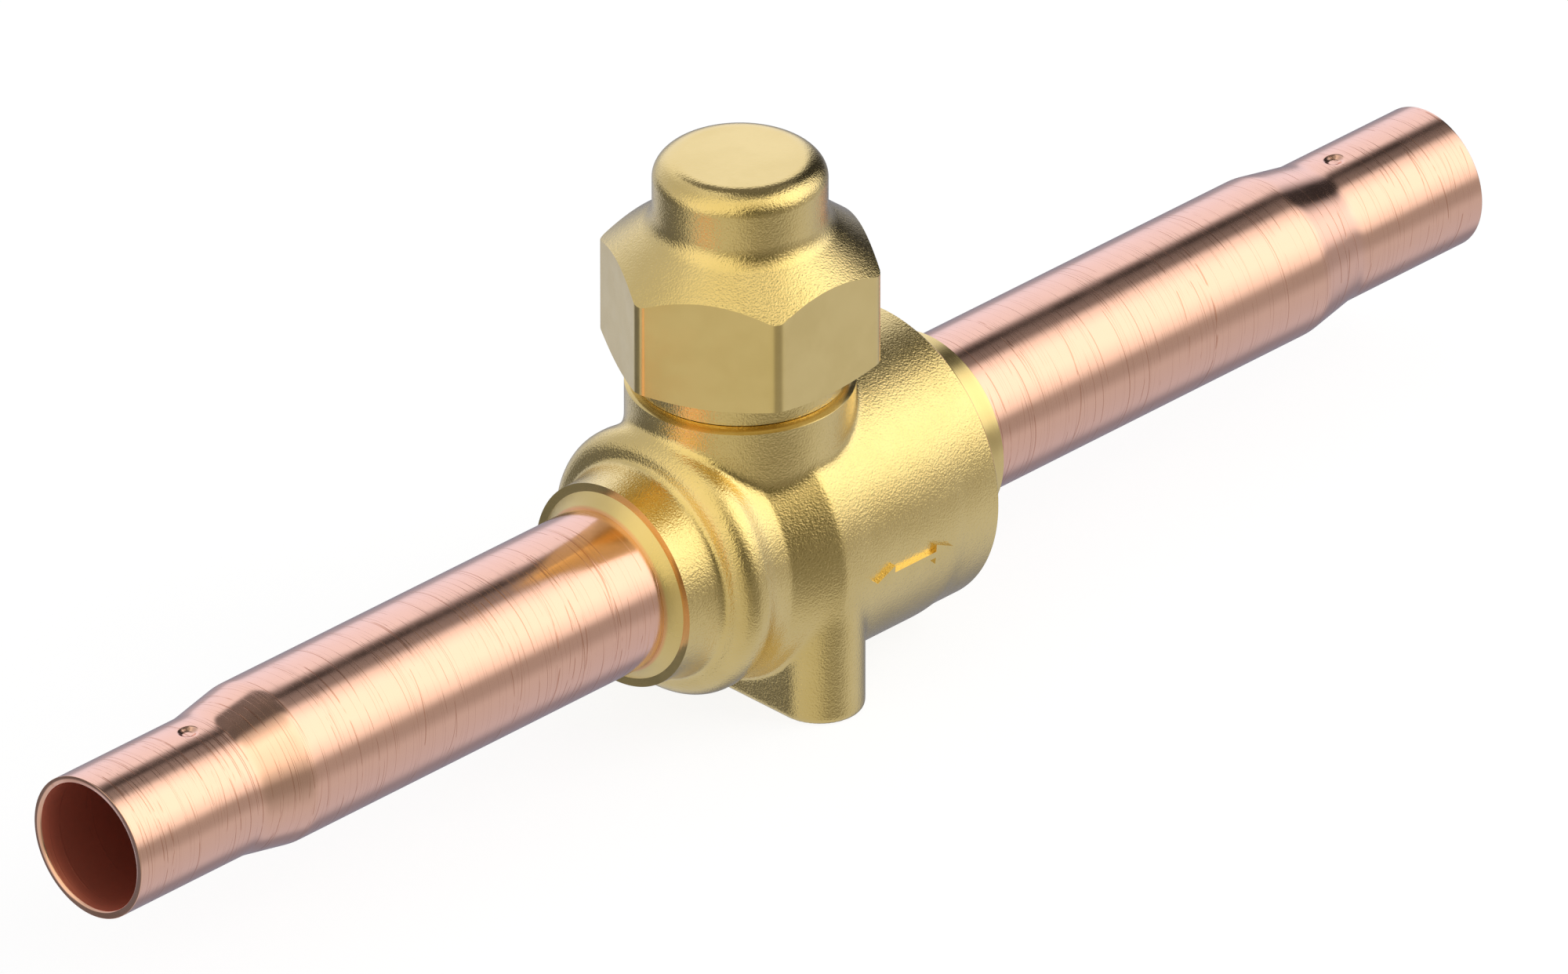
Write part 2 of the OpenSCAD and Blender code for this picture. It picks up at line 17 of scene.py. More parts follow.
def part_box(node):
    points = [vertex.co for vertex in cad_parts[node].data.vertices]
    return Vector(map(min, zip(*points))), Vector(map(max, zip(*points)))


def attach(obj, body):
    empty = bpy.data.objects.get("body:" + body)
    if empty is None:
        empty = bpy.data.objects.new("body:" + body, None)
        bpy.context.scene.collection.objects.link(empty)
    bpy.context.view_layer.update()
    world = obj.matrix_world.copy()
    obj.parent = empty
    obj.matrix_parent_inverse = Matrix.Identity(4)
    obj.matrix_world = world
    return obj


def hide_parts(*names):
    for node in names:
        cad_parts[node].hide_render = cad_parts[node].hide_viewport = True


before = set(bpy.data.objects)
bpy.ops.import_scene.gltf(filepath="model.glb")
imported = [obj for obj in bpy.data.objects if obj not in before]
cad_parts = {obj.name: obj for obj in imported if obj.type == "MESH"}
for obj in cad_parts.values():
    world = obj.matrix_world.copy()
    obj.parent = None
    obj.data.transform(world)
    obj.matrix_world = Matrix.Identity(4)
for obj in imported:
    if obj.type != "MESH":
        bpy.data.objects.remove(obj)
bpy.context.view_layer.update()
MM = 0.001

# %% [markdown]
# ## Sizes that several pieces share
#
# The body, the tubes and the cap all meet each other, so the sizes that they share are written once,
# in millimetres, and everything else is worked out from them or from the frame's own boxes.

# %% Shared sizes
body_low, body_high = (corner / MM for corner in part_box("valve_body"))
cap_low, cap_high = (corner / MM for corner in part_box("seal_cap"))
tube_low, tube_high = (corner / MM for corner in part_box("inlet_tube"))
INLET_MOUTH, OUTLET_MOUTH = tube_low.x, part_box("outlet_tube")[1].x / MM
TUBE_R = (tube_high.z - tube_low.z) / 2
AXIS_Z = (tube_high.z + tube_low.z) / 2
TUBE_WALL = 0.76
NECK_END, BARREL_END = body_low.x, body_high.x
BARREL_R, BONNET_R, SKIRT_R = 15.15, 10.98, 10.2
CAP_GAP = 0.1
BONNET_FACE = cap_low.z - CAP_GAP
SPIGOT_RIM = body_high.z
THREAD_R, THREAD_PITCH = 8.95, 1.5
print("axis height", round(AXIS_Z, 3), "tube radius", round(TUBE_R, 3), "bonnet face", round(BONNET_FACE, 3))


# %% [markdown]
# ## A small helper for wiring nodes
#
# Node trees built by script soon turn into long lists of links. This helper places a node and joins
# whatever it is given, a number or another node's output, so a formula in nodes reads like a formula.

# %% Wiring helper: nodes, links and sums
class Wiring:
    """Places nodes in one tree and joins them."""

    def __init__(self, tree):
        self.tree = tree

    def node(self, kind, inputs=None, **settings):
        made = self.tree.nodes.new(kind)
        for key, value in settings.items():
            setattr(made, key, value)
        for key, value in (inputs or {}).items():
            self.join(value, made.inputs[key])
        return made

    def join(self, value, socket):
        if isinstance(value, bpy.types.NodeSocket):
            self.tree.links.new(value, socket)
        else:
            socket.default_value = value

    def join_all(self, values, made):
        for value, socket in zip(values, made.inputs):
            self.join(value, socket)
        return made

    def math(self, operation, *values):
        return self.join_all(values, self.node("ShaderNodeMath", operation=operation)).outputs[0]

    def less(self, value, taken):
        return self.math("SUBTRACT", value, taken)

    def largest(self, first, *others):
        return self.math("MAXIMUM", first, self.largest(*others)) if others else first

    def length(self, a, b):
        """Length of the flat vector (a, b)."""
        return self.math("SQRT", self.math("ADD", self.math("MULTIPLY", a, a), self.math("MULTIPLY", b, b)))

    def vector(self, operation, *values):
        made = self.join_all(values, self.node("ShaderNodeVectorMath", operation=operation))
        return made.outputs["Value" if operation in ("LENGTH", "DOT_PRODUCT") else "Vector"]

    def scale(self, vector, factor):
        made = self.node("ShaderNodeVectorMath", {"Scale": factor}, operation="SCALE")
        return self.join_all([vector], made).outputs["Vector"]

    def xyz(self, vector):
        return self.node("ShaderNodeSeparateXYZ", {"Vector": vector}).outputs

    def combine(self, x=0.0, y=0.0, z=0.0):
        return self.node("ShaderNodeCombineXYZ", {"X": x, "Y": y, "Z": z}).outputs[0]

    def ramp(self, value, from_low, from_high, to_low=0.0, to_high=1.0, style="SMOOTHSTEP"):
        made = self.node("ShaderNodeMapRange", {
            "Value": value, "From Min": from_low, "From Max": from_high,
            "To Min": to_low, "To Max": to_high}, interpolation_type=style)
        return made.outputs["Result"]

    def noise(self, vector, scale, detail=2.0, roughness=0.5):
        """Noise of the point, 0 to 1, at so many features a millimetre."""
        made = self.node("ShaderNodeTexNoise", {
            "Vector": vector, "Scale": scale, "Detail": detail, "Roughness": roughness})
        return made.outputs["Fac"]

    def colours(self, mask, first, second, blend="MIX"):
        """The first colour where the mask is 0, the second where it is 1; plain ones have three numbers."""
        made = self.node("ShaderNodeMix", {"Factor": mask}, data_type="RGBA", blend_type=blend)
        for socket, colour in ((made.inputs[6], first), (made.inputs[7], second)):
            self.join(colour if isinstance(colour, bpy.types.NodeSocket) else (*colour, 1), socket)
        return made.outputs[2]

    def shaders(self, mask, first, second):
        """The first shader where the mask is 0, the second where it is 1."""
        return self.join_all((mask, first, second), self.node("ShaderNodeMixShader")).outputs[0]


print("wiring helper ready")

# %% Named groups, and a line that reports each tree
FLOAT, VECTOR, GEOMETRY = "NodeSocketFloat", "NodeSocketVector", "NodeSocketGeometry"
MATERIAL = "NodeSocketMaterial"


def new_tree(name, kind, inputs, outputs):
    """A node group with named sockets: inputs and outputs are {name: (socket type, default)}."""
    tree = bpy.data.node_groups.new(name, kind)
    for in_out, sockets in (("INPUT", inputs), ("OUTPUT", outputs)):
        for label, (socket_type, default) in sockets.items():
            made = tree.interface.new_socket(label, in_out=in_out, socket_type=socket_type)
            if default is not None:
                made.default_value = default
    return tree


def tell(owner):
    """Prints the name of a group, material or world, and how many nodes it has."""
    tree = getattr(owner, "node_tree", None) or owner
    print(owner.name + ":", len(tree.nodes), "nodes")


# %% [markdown]
# ## The camera
#
# The photograph is a parallel view: the near tube and the far tube have the same width. A very long
# lens far away gives that view, and it still lets other views step back to take in the whole valve.

# %% Camera
VIEW_AZIMUTH, VIEW_ELEVATION = -45, 30
LENS, SENSOR = 1000, 36
FRAME_WIDTH = 0.14815
AIM_RIGHT, AIM_UP = 4.13 * MM, 3.22 * MM

turn, tilt = math.radians(VIEW_AZIMUTH), math.radians(VIEW_ELEVATION)
toward_camera = Vector((math.sin(turn) * math.cos(tilt), -math.cos(turn) * math.cos(tilt), math.sin(tilt)))
image_right = Vector((math.cos(turn), math.sin(turn), 0))
image_up = toward_camera.cross(image_right)
aim = Vector((0, 0, AXIS_Z * MM)) + image_right * AIM_RIGHT + image_up * AIM_UP

camera = bpy.data.objects.new("camera", bpy.data.cameras.new("camera"))
bpy.context.scene.collection.objects.link(camera)
camera.data.lens, camera.data.sensor_width = LENS, SENSOR
camera.location = aim + toward_camera * (FRAME_WIDTH / SENSOR * LENS)
camera.rotation_mode = "QUATERNION"
camera.rotation_quaternion = (-toward_camera).to_track_quat("-Z", "Y")
camera.data.clip_start, camera.data.clip_end = 0.5, 50
bpy.context.scene.camera = camera
print("camera at", [round(v, 3) for v in camera.location])

# %% [markdown]
# ## The studio
#
# Polished metal has no look of its own: it shows the room. The photograph's room is a white studio
# with a large warm softbox at the right, dark gaps beside it and behind the camera's left, and a dull
# floor. Each of these is a soft-edged card, given by its direction and its width and height in
# degrees. Only reflections see the cards. The camera sees plain white, and matt surfaces get an even
# light, so their colours stay as they are written.

# %% Soft card: how much of one card a direction sees
soft_card = new_tree("soft_card", "ShaderNodeTree", {
    "Azimuth": (FLOAT, 0), "Elevation": (FLOAT, 0), "Centre Azimuth": (FLOAT, 0),
    "Centre Elevation": (FLOAT, 0), "Half Width": (FLOAT, 20), "Half Height": (FLOAT, 20),
    "Softness": (FLOAT, 10)}, {"Mask": (FLOAT, None)})
wire = Wiring(soft_card)
card_in = wire.node("NodeGroupInput").outputs


def card_edge(angle, centre, half):
    """1 inside the card's width or height, falling to 0 across its soft edge."""
    away = wire.math("ABSOLUTE", wire.math("WRAP", wire.less(angle, centre), 180, -180))
    half_soft = wire.math("MULTIPLY", card_in["Softness"], 0.5)
    return wire.ramp(wire.less(away, half), wire.math("MULTIPLY", half_soft, -1), half_soft, 1, 0)


across = card_edge(card_in["Azimuth"], card_in["Centre Azimuth"], card_in["Half Width"])
along = card_edge(card_in["Elevation"], card_in["Centre Elevation"], card_in["Half Height"])
wire.node("NodeGroupOutput", {"Mask": wire.math("MULTIPLY", across, along)})
tell(soft_card)

# %% Studio plan: azimuth 0 is toward -Y and 90 toward +X
STUDIO_WALL = (0.98, 0.98, 0.98)
STUDIO_CARDS = [
    # name, azimuth, elevation, half width, half height, softness, colour
    ("floor", 0, -49, 200, 50, 8, (0.58, 0.58, 0.57)),
    ("horizon", -1, -6, 68, 11, 16, (0.40, 0.39, 0.38)),
    ("ceiling", 0, 89, 200, 11, 12, (0.40, 0.40, 0.40)),
    ("top gap", 86, 69, 66, 13, 10, (0.13, 0.13, 0.13)),
    ("rear gap", 140, 55, 30, 12, 8, (0.17, 0.165, 0.16)),
    ("front top", -70, 62, 49, 13, 6, (0.96, 0.95, 0.92)),
    ("rear floor", 116, -44, 34, 42, 34, (0.28, 0.28, 0.29)),
    ("front shade", -21, 30, 18, 26, 6, (0.50, 0.49, 0.48)),
    ("front flag", -9, -6, 30, 31, 30, (0.25, 0.245, 0.24)),
    ("camera flag", -24, 14, 20, 14, 12, (0.12, 0.12, 0.12)),
    ("left fill", -101, 15, 18, 25, 11, (1.04, 1.02, 0.99)),
    ("left shade", -154, 34, 34, 34, 34, (0.58, 0.58, 0.58)),
    ("left flag", -146, -19, 28, 21, 8, (0.16, 0.16, 0.16)),
    ("softbox", 43, 40, 26, 25, 28, (1.56, 1.54, 1.48)),
    ("right flag", 101, 22, 17, 33, 16, (0.035, 0.035, 0.035)),
]
print("studio cards:", len(STUDIO_CARDS))

# %% World: the cards, laid over the studio wall one after the other
world = bpy.data.worlds.new("studio")
bpy.context.scene.world = world
world.use_nodes = True
world.cycles.sampling_method = "NONE"
world.node_tree.nodes.clear()
wire = Wiring(world.node_tree)
direction = wire.xyz(wire.node("ShaderNodeTexCoord").outputs["Generated"])
toward_front = wire.math("MULTIPLY", direction["Y"], -1)
azimuth = wire.math("DEGREES", wire.math("ARCTAN2", direction["X"], toward_front))
elevation = wire.math("DEGREES", wire.math("ARCSINE", direction["Z"]))
seen = STUDIO_WALL
for name, card_azimuth, card_elevation, half_width, half_height, softness, card_colour in STUDIO_CARDS:
    card = wire.node("ShaderNodeGroup", node_tree=soft_card, label=name, inputs={
        "Azimuth": azimuth, "Elevation": elevation, "Centre Azimuth": card_azimuth,
        "Centre Elevation": card_elevation, "Half Width": half_width, "Half Height": half_height,
        "Softness": softness})
    seen = wire.colours(card.outputs["Mask"], seen, card_colour)
tell(world)

# %% Room light: warm from the front left, cool from the back right
WARM_FRONT, COOL_BACK = (1.03, 0.95, 0.64), (0.98, 1.02, 1.20)
FRONT_LEFT = (-0.612, -0.612, 0.5)
toward_front_left = wire.vector("DOT_PRODUCT", wire.combine(*direction[:3]), FRONT_LEFT)
tint = wire.colours(wire.ramp(toward_front_left, -1, 1, style="LINEAR"), COOL_BACK, WARM_FRONT)
tinted = wire.colours(1, seen, tint, blend="MULTIPLY")
tell(world)

# %% World: white for the camera, the cards for reflections, even light for the rest
WHITE = (1, 1, 1, 1)
EVEN_LIGHT = 0.55


def sees_white(wire, rays):
    """1 for the rays that find plain white: straight from the camera, or through a clear piece."""
    return wire.math("MAXIMUM", rays["Is Camera Ray"], rays["Is Transmission Ray"])


rays = wire.node("ShaderNodeLightPath").outputs
white = wire.node("ShaderNodeBackground", {"Color": WHITE, "Strength": 1.0}).outputs[0]
studio = wire.node("ShaderNodeBackground", {"Color": tinted, "Strength": 1.0}).outputs[0]
even = wire.node("ShaderNodeBackground", {"Color": WHITE, "Strength": EVEN_LIGHT}).outputs[0]
lit = wire.shaders(rays["Is Glossy Ray"], even, studio)
wire.node("ShaderNodeOutputWorld", {"Surface": wire.shaders(sees_white(wire, rays), lit, white)})
tell(world)

# %% Softbox lamp: gives matt surfaces their direction of light, and the floor its shadow
LAMP_SIZE, LAMP_WATTS, LAMP_AWAY = 0.8, 4.2, 1.2
lamp = bpy.data.objects.new("softbox_lamp", bpy.data.lights.new("softbox_lamp", "AREA"))
bpy.context.scene.collection.objects.link(lamp)
lamp.data.shape, lamp.data.size, lamp.data.energy = "SQUARE", LAMP_SIZE, LAMP_WATTS
softbox_direction = Vector((0.61, -0.56, 0.56)).normalized()
lamp.location = softbox_direction * LAMP_AWAY
lamp.rotation_mode = "QUATERNION"
lamp.rotation_quaternion = softbox_direction.to_track_quat("Z", "Y")
lamp.visible_glossy = False
lamp.visible_camera = False
print("lamp at", [round(v, 2) for v in lamp.location])

# %% Floor paper: pale for the camera, clear in reflections and from below
PAPER, PAPER_GLOW, GLOW_STRENGTH = (0.86, 0.86, 0.86, 1), 0.75, 1.16
floor_paint = bpy.data.materials.new("floor_paper")
floor_paint.use_nodes = True
floor_paint.node_tree.nodes.clear()
wire = Wiring(floor_paint.node_tree)
rays = wire.node("ShaderNodeLightPath").outputs
paper = wire.node("ShaderNodeBsdfDiffuse", {"Color": PAPER}).outputs[0]
glow = wire.node("ShaderNodeEmission", {"Color": WHITE, "Strength": GLOW_STRENGTH}).outputs[0]
clear = wire.node("ShaderNodeBsdfTransparent").outputs[0]
sheet = wire.shaders(wire.math("MULTIPLY", sees_white(wire, rays), PAPER_GLOW), paper, glow)
from_below = wire.node("ShaderNodeNewGeometry").outputs["Backfacing"]
surface = wire.shaders(wire.math("MAXIMUM", rays["Is Glossy Ray"], from_below), sheet, clear)
wire.node("ShaderNodeOutputMaterial", {"Surface": surface})
tell(floor_paint)

# %% Floor: a wide pale sheet just under the foot's face
FLOOR_HALF, FLOOR_Z = 3.0, -0.02 * MM
floor_corners = [(-FLOOR_HALF, -FLOOR_HALF), (FLOOR_HALF, -FLOOR_HALF), (FLOOR_HALF, FLOOR_HALF),
                 (-FLOOR_HALF, FLOOR_HALF)]
floor_mesh = bpy.data.meshes.new("floor")
floor_mesh.from_pydata([(x, y, FLOOR_Z) for x, y in floor_corners], [], [(0, 1, 2, 3)])
floor = bpy.data.objects.new("floor", floor_mesh)
bpy.context.scene.collection.objects.link(floor)
floor_mesh.materials.append(floor_paint)
print("floor:", 2 * FLOOR_HALF, "m wide at", round(FLOOR_Z / MM, 3), "mm")

# %% [markdown]
# ## What the finishes are made of
#
# A real surface is never one flat colour. A blasted forging has a fine sandy grain, a turned face has
# rings left by the tool, and a polished tube gathers hairline scratches that run round it. Each effect
# is a shader group, built once and placed in every finish that needs it, with its own sizes. Every
# group reads a point in millimetres whose Z runs along the piece's own axis, so the same rings fit
# the flow axis and the stem axis.

# %% Forged grain: a fine sandy relief and a broad change of tone
SWELL_SCALE, TONE_SCALE = 0.22, 0.16
forged_grain = new_tree("forged_grain", "ShaderNodeTree", {
    "Point": (VECTOR, None), "Grain Size": (FLOAT, 0.25), "Swell": (FLOAT, 0.5)},
    {"Height": (FLOAT, None), "Tone": (FLOAT, None)})
wire = Wiring(forged_grain)
grain_in = wire.node("NodeGroupInput").outputs
per_grain = wire.math("DIVIDE", 1, grain_in["Grain Size"])
sand = wire.noise(grain_in["Point"], per_grain, 2.0, 0.6)
swell = wire.noise(grain_in["Point"], wire.math("MULTIPLY", per_grain, SWELL_SCALE))
wire.node("NodeGroupOutput", {
    "Height": wire.math("MULTIPLY_ADD", swell, grain_in["Swell"], sand),
    "Tone": wire.ramp(wire.noise(grain_in["Point"], TONE_SCALE, 3.0, 0.55), 0.3, 0.7)})
tell(forged_grain)

# %% Turned rings: what a lathe tool leaves on faces and round surfaces
RING_WANDER, BAND_SCALE = 0.3, 0.7
turned_rings = new_tree("turned_rings", "ShaderNodeTree", {
    "Point": (VECTOR, None), "Ring Width": (FLOAT, 0.1)}, {"Height": (FLOAT, None), "Tone": (FLOAT, None)})
wire = Wiring(turned_rings)
ring_in = wire.node("NodeGroupInput").outputs


def round_axis(wire, point):
    """Distance from the Z axis, the direction round it as two numbers without a seam, and the height."""
    part = wire.xyz(point)
    radius = wire.vector("LENGTH", wire.combine(part["X"], part["Y"]))
    safe = wire.math("MAXIMUM", radius, 0.01)
    return radius, wire.math("DIVIDE", part["X"], safe), wire.math("DIVIDE", part["Y"], safe), part["Z"]


radius, side_x, side_y, station = round_axis(wire, ring_in["Point"])
per_ring = wire.math("DIVIDE", 1, ring_in["Ring Width"])
fine = wire.combine(
    wire.math("MULTIPLY_ADD", radius, per_ring, wire.math("MULTIPLY", side_x, RING_WANDER)),
    wire.math("MULTIPLY_ADD", station, per_ring, wire.math("MULTIPLY", side_y, RING_WANDER)), side_y)
wide = wire.combine(wire.math("MULTIPLY", radius, BAND_SCALE),
                    wire.math("MULTIPLY", station, BAND_SCALE), side_x)
wire.node("NodeGroupOutput", {
    "Height": wire.noise(fine, 0.5, 2.0, 0.6),
    "Tone": wire.ramp(wire.noise(wide, 1.0, 2.0, 0.5), 0.3, 0.7)})
tell(turned_rings)

# %% Hairline scratches: thin broken lines that run round a handled surface
LINE_FROM, LINE_TO = 0.645, 0.69
BREAK_SCALE, BREAK_ROUND = 0.9, 2.2
hairlines = new_tree("hairline_scratches", "ShaderNodeTree", {
    "Point": (VECTOR, None), "Lines": (FLOAT, 4.0), "Slant": (FLOAT, 0.3), "Amount": (FLOAT, 0.5),
    "Wander": (FLOAT, 0.3), "Seed": (FLOAT, 0.0)}, {"Mask": (FLOAT, None)})
wire = Wiring(hairlines)
line_in = wire.node("NodeGroupInput").outputs
radius, side_x, side_y, station = round_axis(wire, line_in["Point"])
slanted = wire.math("MULTIPLY_ADD", side_x, line_in["Slant"], station)
lined = wire.combine(wire.math("MULTIPLY", slanted, line_in["Lines"]),
                     wire.math("MULTIPLY_ADD", side_x, line_in["Wander"], line_in["Seed"]),
                     wire.math("MULTIPLY", side_y, line_in["Wander"]))
thin = wire.ramp(wire.noise(lined, 1.0, 1.0, 0.4), LINE_FROM, LINE_TO)
broken = wire.combine(wire.math("MULTIPLY_ADD", slanted, BREAK_SCALE, line_in["Seed"]),
                      wire.math("MULTIPLY", side_x, BREAK_ROUND), wire.math("MULTIPLY", side_y, BREAK_ROUND))
piecewise = wire.ramp(wire.noise(broken, 1.0, 2.0, 0.6), wire.less(0.72, line_in["Amount"]),
                      wire.less(0.82, line_in["Amount"]))
wire.node("NodeGroupOutput", {"Mask": wire.math("MULTIPLY", thin, piecewise)})
tell(hairlines)

# %% Handling marks: faint smudges that change how sharp the reflections are
handling = new_tree("handling_marks", "ShaderNodeTree", {
    "Point": (VECTOR, None), "Size": (FLOAT, 4.0)}, {"Mask": (FLOAT, None)})
wire = Wiring(handling)
mark_in = wire.node("NodeGroupInput").outputs
smudge = wire.noise(mark_in["Point"], wire.math("DIVIDE", 1, mark_in["Size"]), 4.0, 0.6)
wire.node("NodeGroupOutput", {"Mask": wire.ramp(smudge, 0.35, 0.65)})
tell(handling)

# %% One class for every finish
STEM_AXIS, FLOW_AXIS = "stem", "flow"


class Finish(Wiring):
    """A material with one Principled shader; its point is in millimetres, with the piece's axis as Z."""

    def __init__(self, name, axis=STEM_AXIS, **constants):
        self.material = bpy.data.materials.new(name)
        self.material.use_nodes = True
        super().__init__(self.material.node_tree)
        self.tree.nodes.clear()
        shader = self.node("ShaderNodeBsdfPrincipled")
        self.node("ShaderNodeOutputMaterial", {"Surface": shader.outputs[0]})
        self.sockets = shader.inputs
        for socket, value in constants.items():
            self.sockets[socket.replace("_", " ")].default_value = value
        placed = self.node("ShaderNodeMapping", {
            "Vector": self.node("ShaderNodeTexCoord").outputs["Object"], "Scale": (1 / MM, 1 / MM, 1 / MM)})
        if axis == FLOW_AXIS:
            placed.inputs["Rotation"].default_value = (0, -math.pi / 2, 0)
            placed.inputs["Location"].default_value = (AXIS_Z, 0, 0)
        self.point = placed.outputs[0]

    def effect(self, group, **inputs):
        """Places a shader group at the finish's point, with its own values."""
        values = {label.replace("_", " "): value for label, value in inputs.items()}
        return self.node("ShaderNodeGroup", {"Point": self.point, **values}, node_tree=group).outputs

    def cover(self, colour, roughness, height, depth, strength=1.0):
        """Joins the colour, the roughness and a relief of so many millimetres, and gives the material."""
        bump = self.node("ShaderNodeBump", {"Height": height, "Strength": strength, "Distance": depth * MM})
        for label, value in (("Base Color", colour), ("Roughness", roughness), ("Normal", bump.outputs[0])):
            self.join(value, self.sockets[label])
        tell(self.material)
        return self.material


print("effects:", len(bpy.data.node_groups))

# %% [markdown]
# ## Brass finishes
#
# The body and the cap are hot-forged and blasted, so their skin is sandy and soft. Where a cutter has
# been, the brass is brighter, with fine rings. The cap's flats are milled and almost smooth. All of
# them are one alloy, so their colours stay close and the finish makes the difference.

# %% Forged and blasted brass
BRASS_DEEP, BRASS_LIGHT = (0.84, 0.655, 0.295), (0.90, 0.71, 0.335)
GRAIN_SIZE, GRAIN_RELIEF = 0.22, 0.055
CROWN_DEPTH, CROWN_FADE, CROWN_GRAIN = 1.0, 1.2, 0.3


def forged_skin(name, smooth_from=None):
    """Blasted forging skin; above the height smooth_from the grain is rubbed away, as on a crown."""
    skin = Finish(name, Metallic=1.0)
    grain = skin.effect(forged_grain, Grain_Size=GRAIN_SIZE, Swell=0.15)
    strength = 1.0
    if smooth_from is not None:
        height = skin.xyz(skin.point)["Z"]
        strength = skin.ramp(height, smooth_from, smooth_from + CROWN_FADE, 1.0, CROWN_GRAIN)
    colour = skin.colours(grain["Tone"], BRASS_DEEP, BRASS_LIGHT)
    roughness = skin.ramp(grain["Tone"], 0, 1, 0.10, 0.14)
    return skin.cover(colour, roughness, grain["Height"], GRAIN_RELIEF, strength)


forged_brass = forged_skin("forged_brass")
cap_brass = forged_skin("cap_brass", smooth_from=cap_high.z - CROWN_DEPTH)


# %% Turned metal, round either axis
def turned_metal(name, axis, deep, light, ring_width=0.12, rough=(0.16, 0.24), depth=0.006):
    """Metal with fine tool rings round an axis."""
    metal = Finish(name, axis, Metallic=1.0)
    rings = metal.effect(turned_rings, Ring_Width=ring_width)
    marks = metal.effect(handling, Size=5.0)
    colour = metal.colours(rings["Tone"], deep, light)
    return metal.cover(colour, metal.ramp(marks["Mask"], 0, 1, *rough), rings["Height"], depth)


turned_brass = turned_metal("turned_brass", FLOW_AXIS, BRASS_DEEP, BRASS_LIGHT)
faced_brass = turned_metal("faced_brass", STEM_AXIS, BRASS_DEEP, BRASS_LIGHT)

# %% Milled flats of the cap: almost smooth, with faint straight cutter lines
LINES_PER_MM, ALONG_LINE = 5.0, 0.15
flats = Finish("milled_brass", Metallic=1.0)
place = flats.xyz(flats.point)
stretched = flats.combine(flats.math("MULTIPLY", place["X"], ALONG_LINE),
                          flats.math("MULTIPLY", place["Y"], ALONG_LINE),
                          flats.math("MULTIPLY", place["Z"], LINES_PER_MM))
cutter_lines = flats.noise(stretched, 1.0, 2.0, 0.6)
grain = flats.effect(forged_grain, Grain_Size=0.07, Swell=0.1)
marks = flats.effect(handling, Size=3.0)
milled_brass = flats.cover(
    flats.colours(grain["Tone"], BRASS_DEEP, BRASS_LIGHT), flats.ramp(marks["Mask"], 0, 1, 0.20, 0.25),
    flats.math("MULTIPLY_ADD", cutter_lines, 0.5, grain["Height"]), 0.003)

# %% [markdown]
# ## Copper
#
# Drawn copper is polished by the die, so it mirrors the studio, and sliding on other tubes leaves
# hairlines round it in clusters. Three layers of the same group, straight, slanted and fine, give
# lines that break off and cross. Their relief alone would vanish in even light, so they also dull
# the polish and darken the colour a little.

# %% Drawn copper
COPPER_DEEP, COPPER_LIGHT = (0.74, 0.39, 0.29), (0.955, 0.586, 0.475)
FINE_LINES_SHARE, RING_SHARE, SCRATCH_DULLS = 0.45, 0.12, 0.06
drawn = Finish("drawn_copper", FLOW_AXIS, Metallic=1.0)
straight = drawn.effect(hairlines, Lines=4.5, Slant=0.0, Amount=0.34, Wander=0.25, Seed=3.0)["Mask"]
slanted = drawn.effect(hairlines, Lines=3.0, Slant=1.1, Amount=0.30, Wander=0.20, Seed=11.0)["Mask"]
fine = drawn.effect(hairlines, Lines=9.0, Slant=0.25, Amount=0.40, Wander=0.30, Seed=23.0)["Mask"]
scratched = drawn.math("MAXIMUM", drawn.math("MAXIMUM", straight, slanted),
                       drawn.math("MULTIPLY", fine, FINE_LINES_SHARE))
marks = drawn.effect(handling, Size=6.0)["Mask"]
rings = drawn.effect(turned_rings, Ring_Width=0.16)
copper = drawn.cover(
    drawn.colours(scratched, COPPER_LIGHT, COPPER_DEEP),
    drawn.math("MULTIPLY_ADD", scratched, SCRATCH_DULLS, drawn.ramp(marks, 0, 1, 0.11, 0.16)),
    drawn.math("MULTIPLY_ADD", scratched, -1.0, drawn.math("MULTIPLY", rings["Height"], RING_SHARE)), 0.005)

# %% Copper inside the tubes: duller, because the die doesn't polish the bore, and darker and redder by painted shade for the dim light inside the tube
# The bore colours are painted shade: copper darkened and reddened as it looks deep inside a tube.
BORE_PAINTED_SHADE_LIGHT, BORE_PAINTED_SHADE_DEEP = (0.66, 0.21, 0.135), (0.55, 0.165, 0.11)
bore = Finish("bore_copper", FLOW_AXIS, Metallic=0.6)
inner_lines = bore.effect(hairlines, Lines=3.0, Slant=0.6, Amount=0.4, Seed=31.0)["Mask"]
marks = bore.effect(handling, Size=5.0)["Mask"]
tone = bore.math("MULTIPLY_ADD", inner_lines, 0.5, bore.math("MULTIPLY", marks, 0.5))
bore_copper = bore.cover(bore.colours(tone, BORE_PAINTED_SHADE_LIGHT, BORE_PAINTED_SHADE_DEEP), bore.ramp(marks, 0, 1, 0.38, 0.48),
                         inner_lines, 0.006)

# %% Brazing metal: a frozen, slightly grainy fillet with a copper-coloured line where it meets the tube
COPPER_LINE = (0.90, 0.50, 0.25)
LINE_SHARP, LINE_FADED = TUBE_R + 0.05, TUBE_R + 0.3
braze = Finish("braze_metal", FLOW_AXIS, Metallic=1.0)
grain = braze.effect(forged_grain, Grain_Size=0.11, Swell=1.0)
meeting = braze.ramp(round_axis(braze, braze.point)[0], LINE_SHARP, LINE_FADED, 1, 0)
brass_side = braze.colours(grain["Tone"], BRASS_DEEP, BRASS_LIGHT)
braze_metal = braze.cover(braze.colours(meeting, brass_side, COPPER_LINE),
                          braze.ramp(grain["Tone"], 0, 1, 0.26, 0.34), grain["Height"], 0.012)

# %% [markdown]
# ## Finishes inside
#
# The inner pieces show when the cap is off and when the model is taken apart: a lapped and chromed
# ball, a zinc-plated stem, a dark spring clip, waxy white seats and black rubber rings.

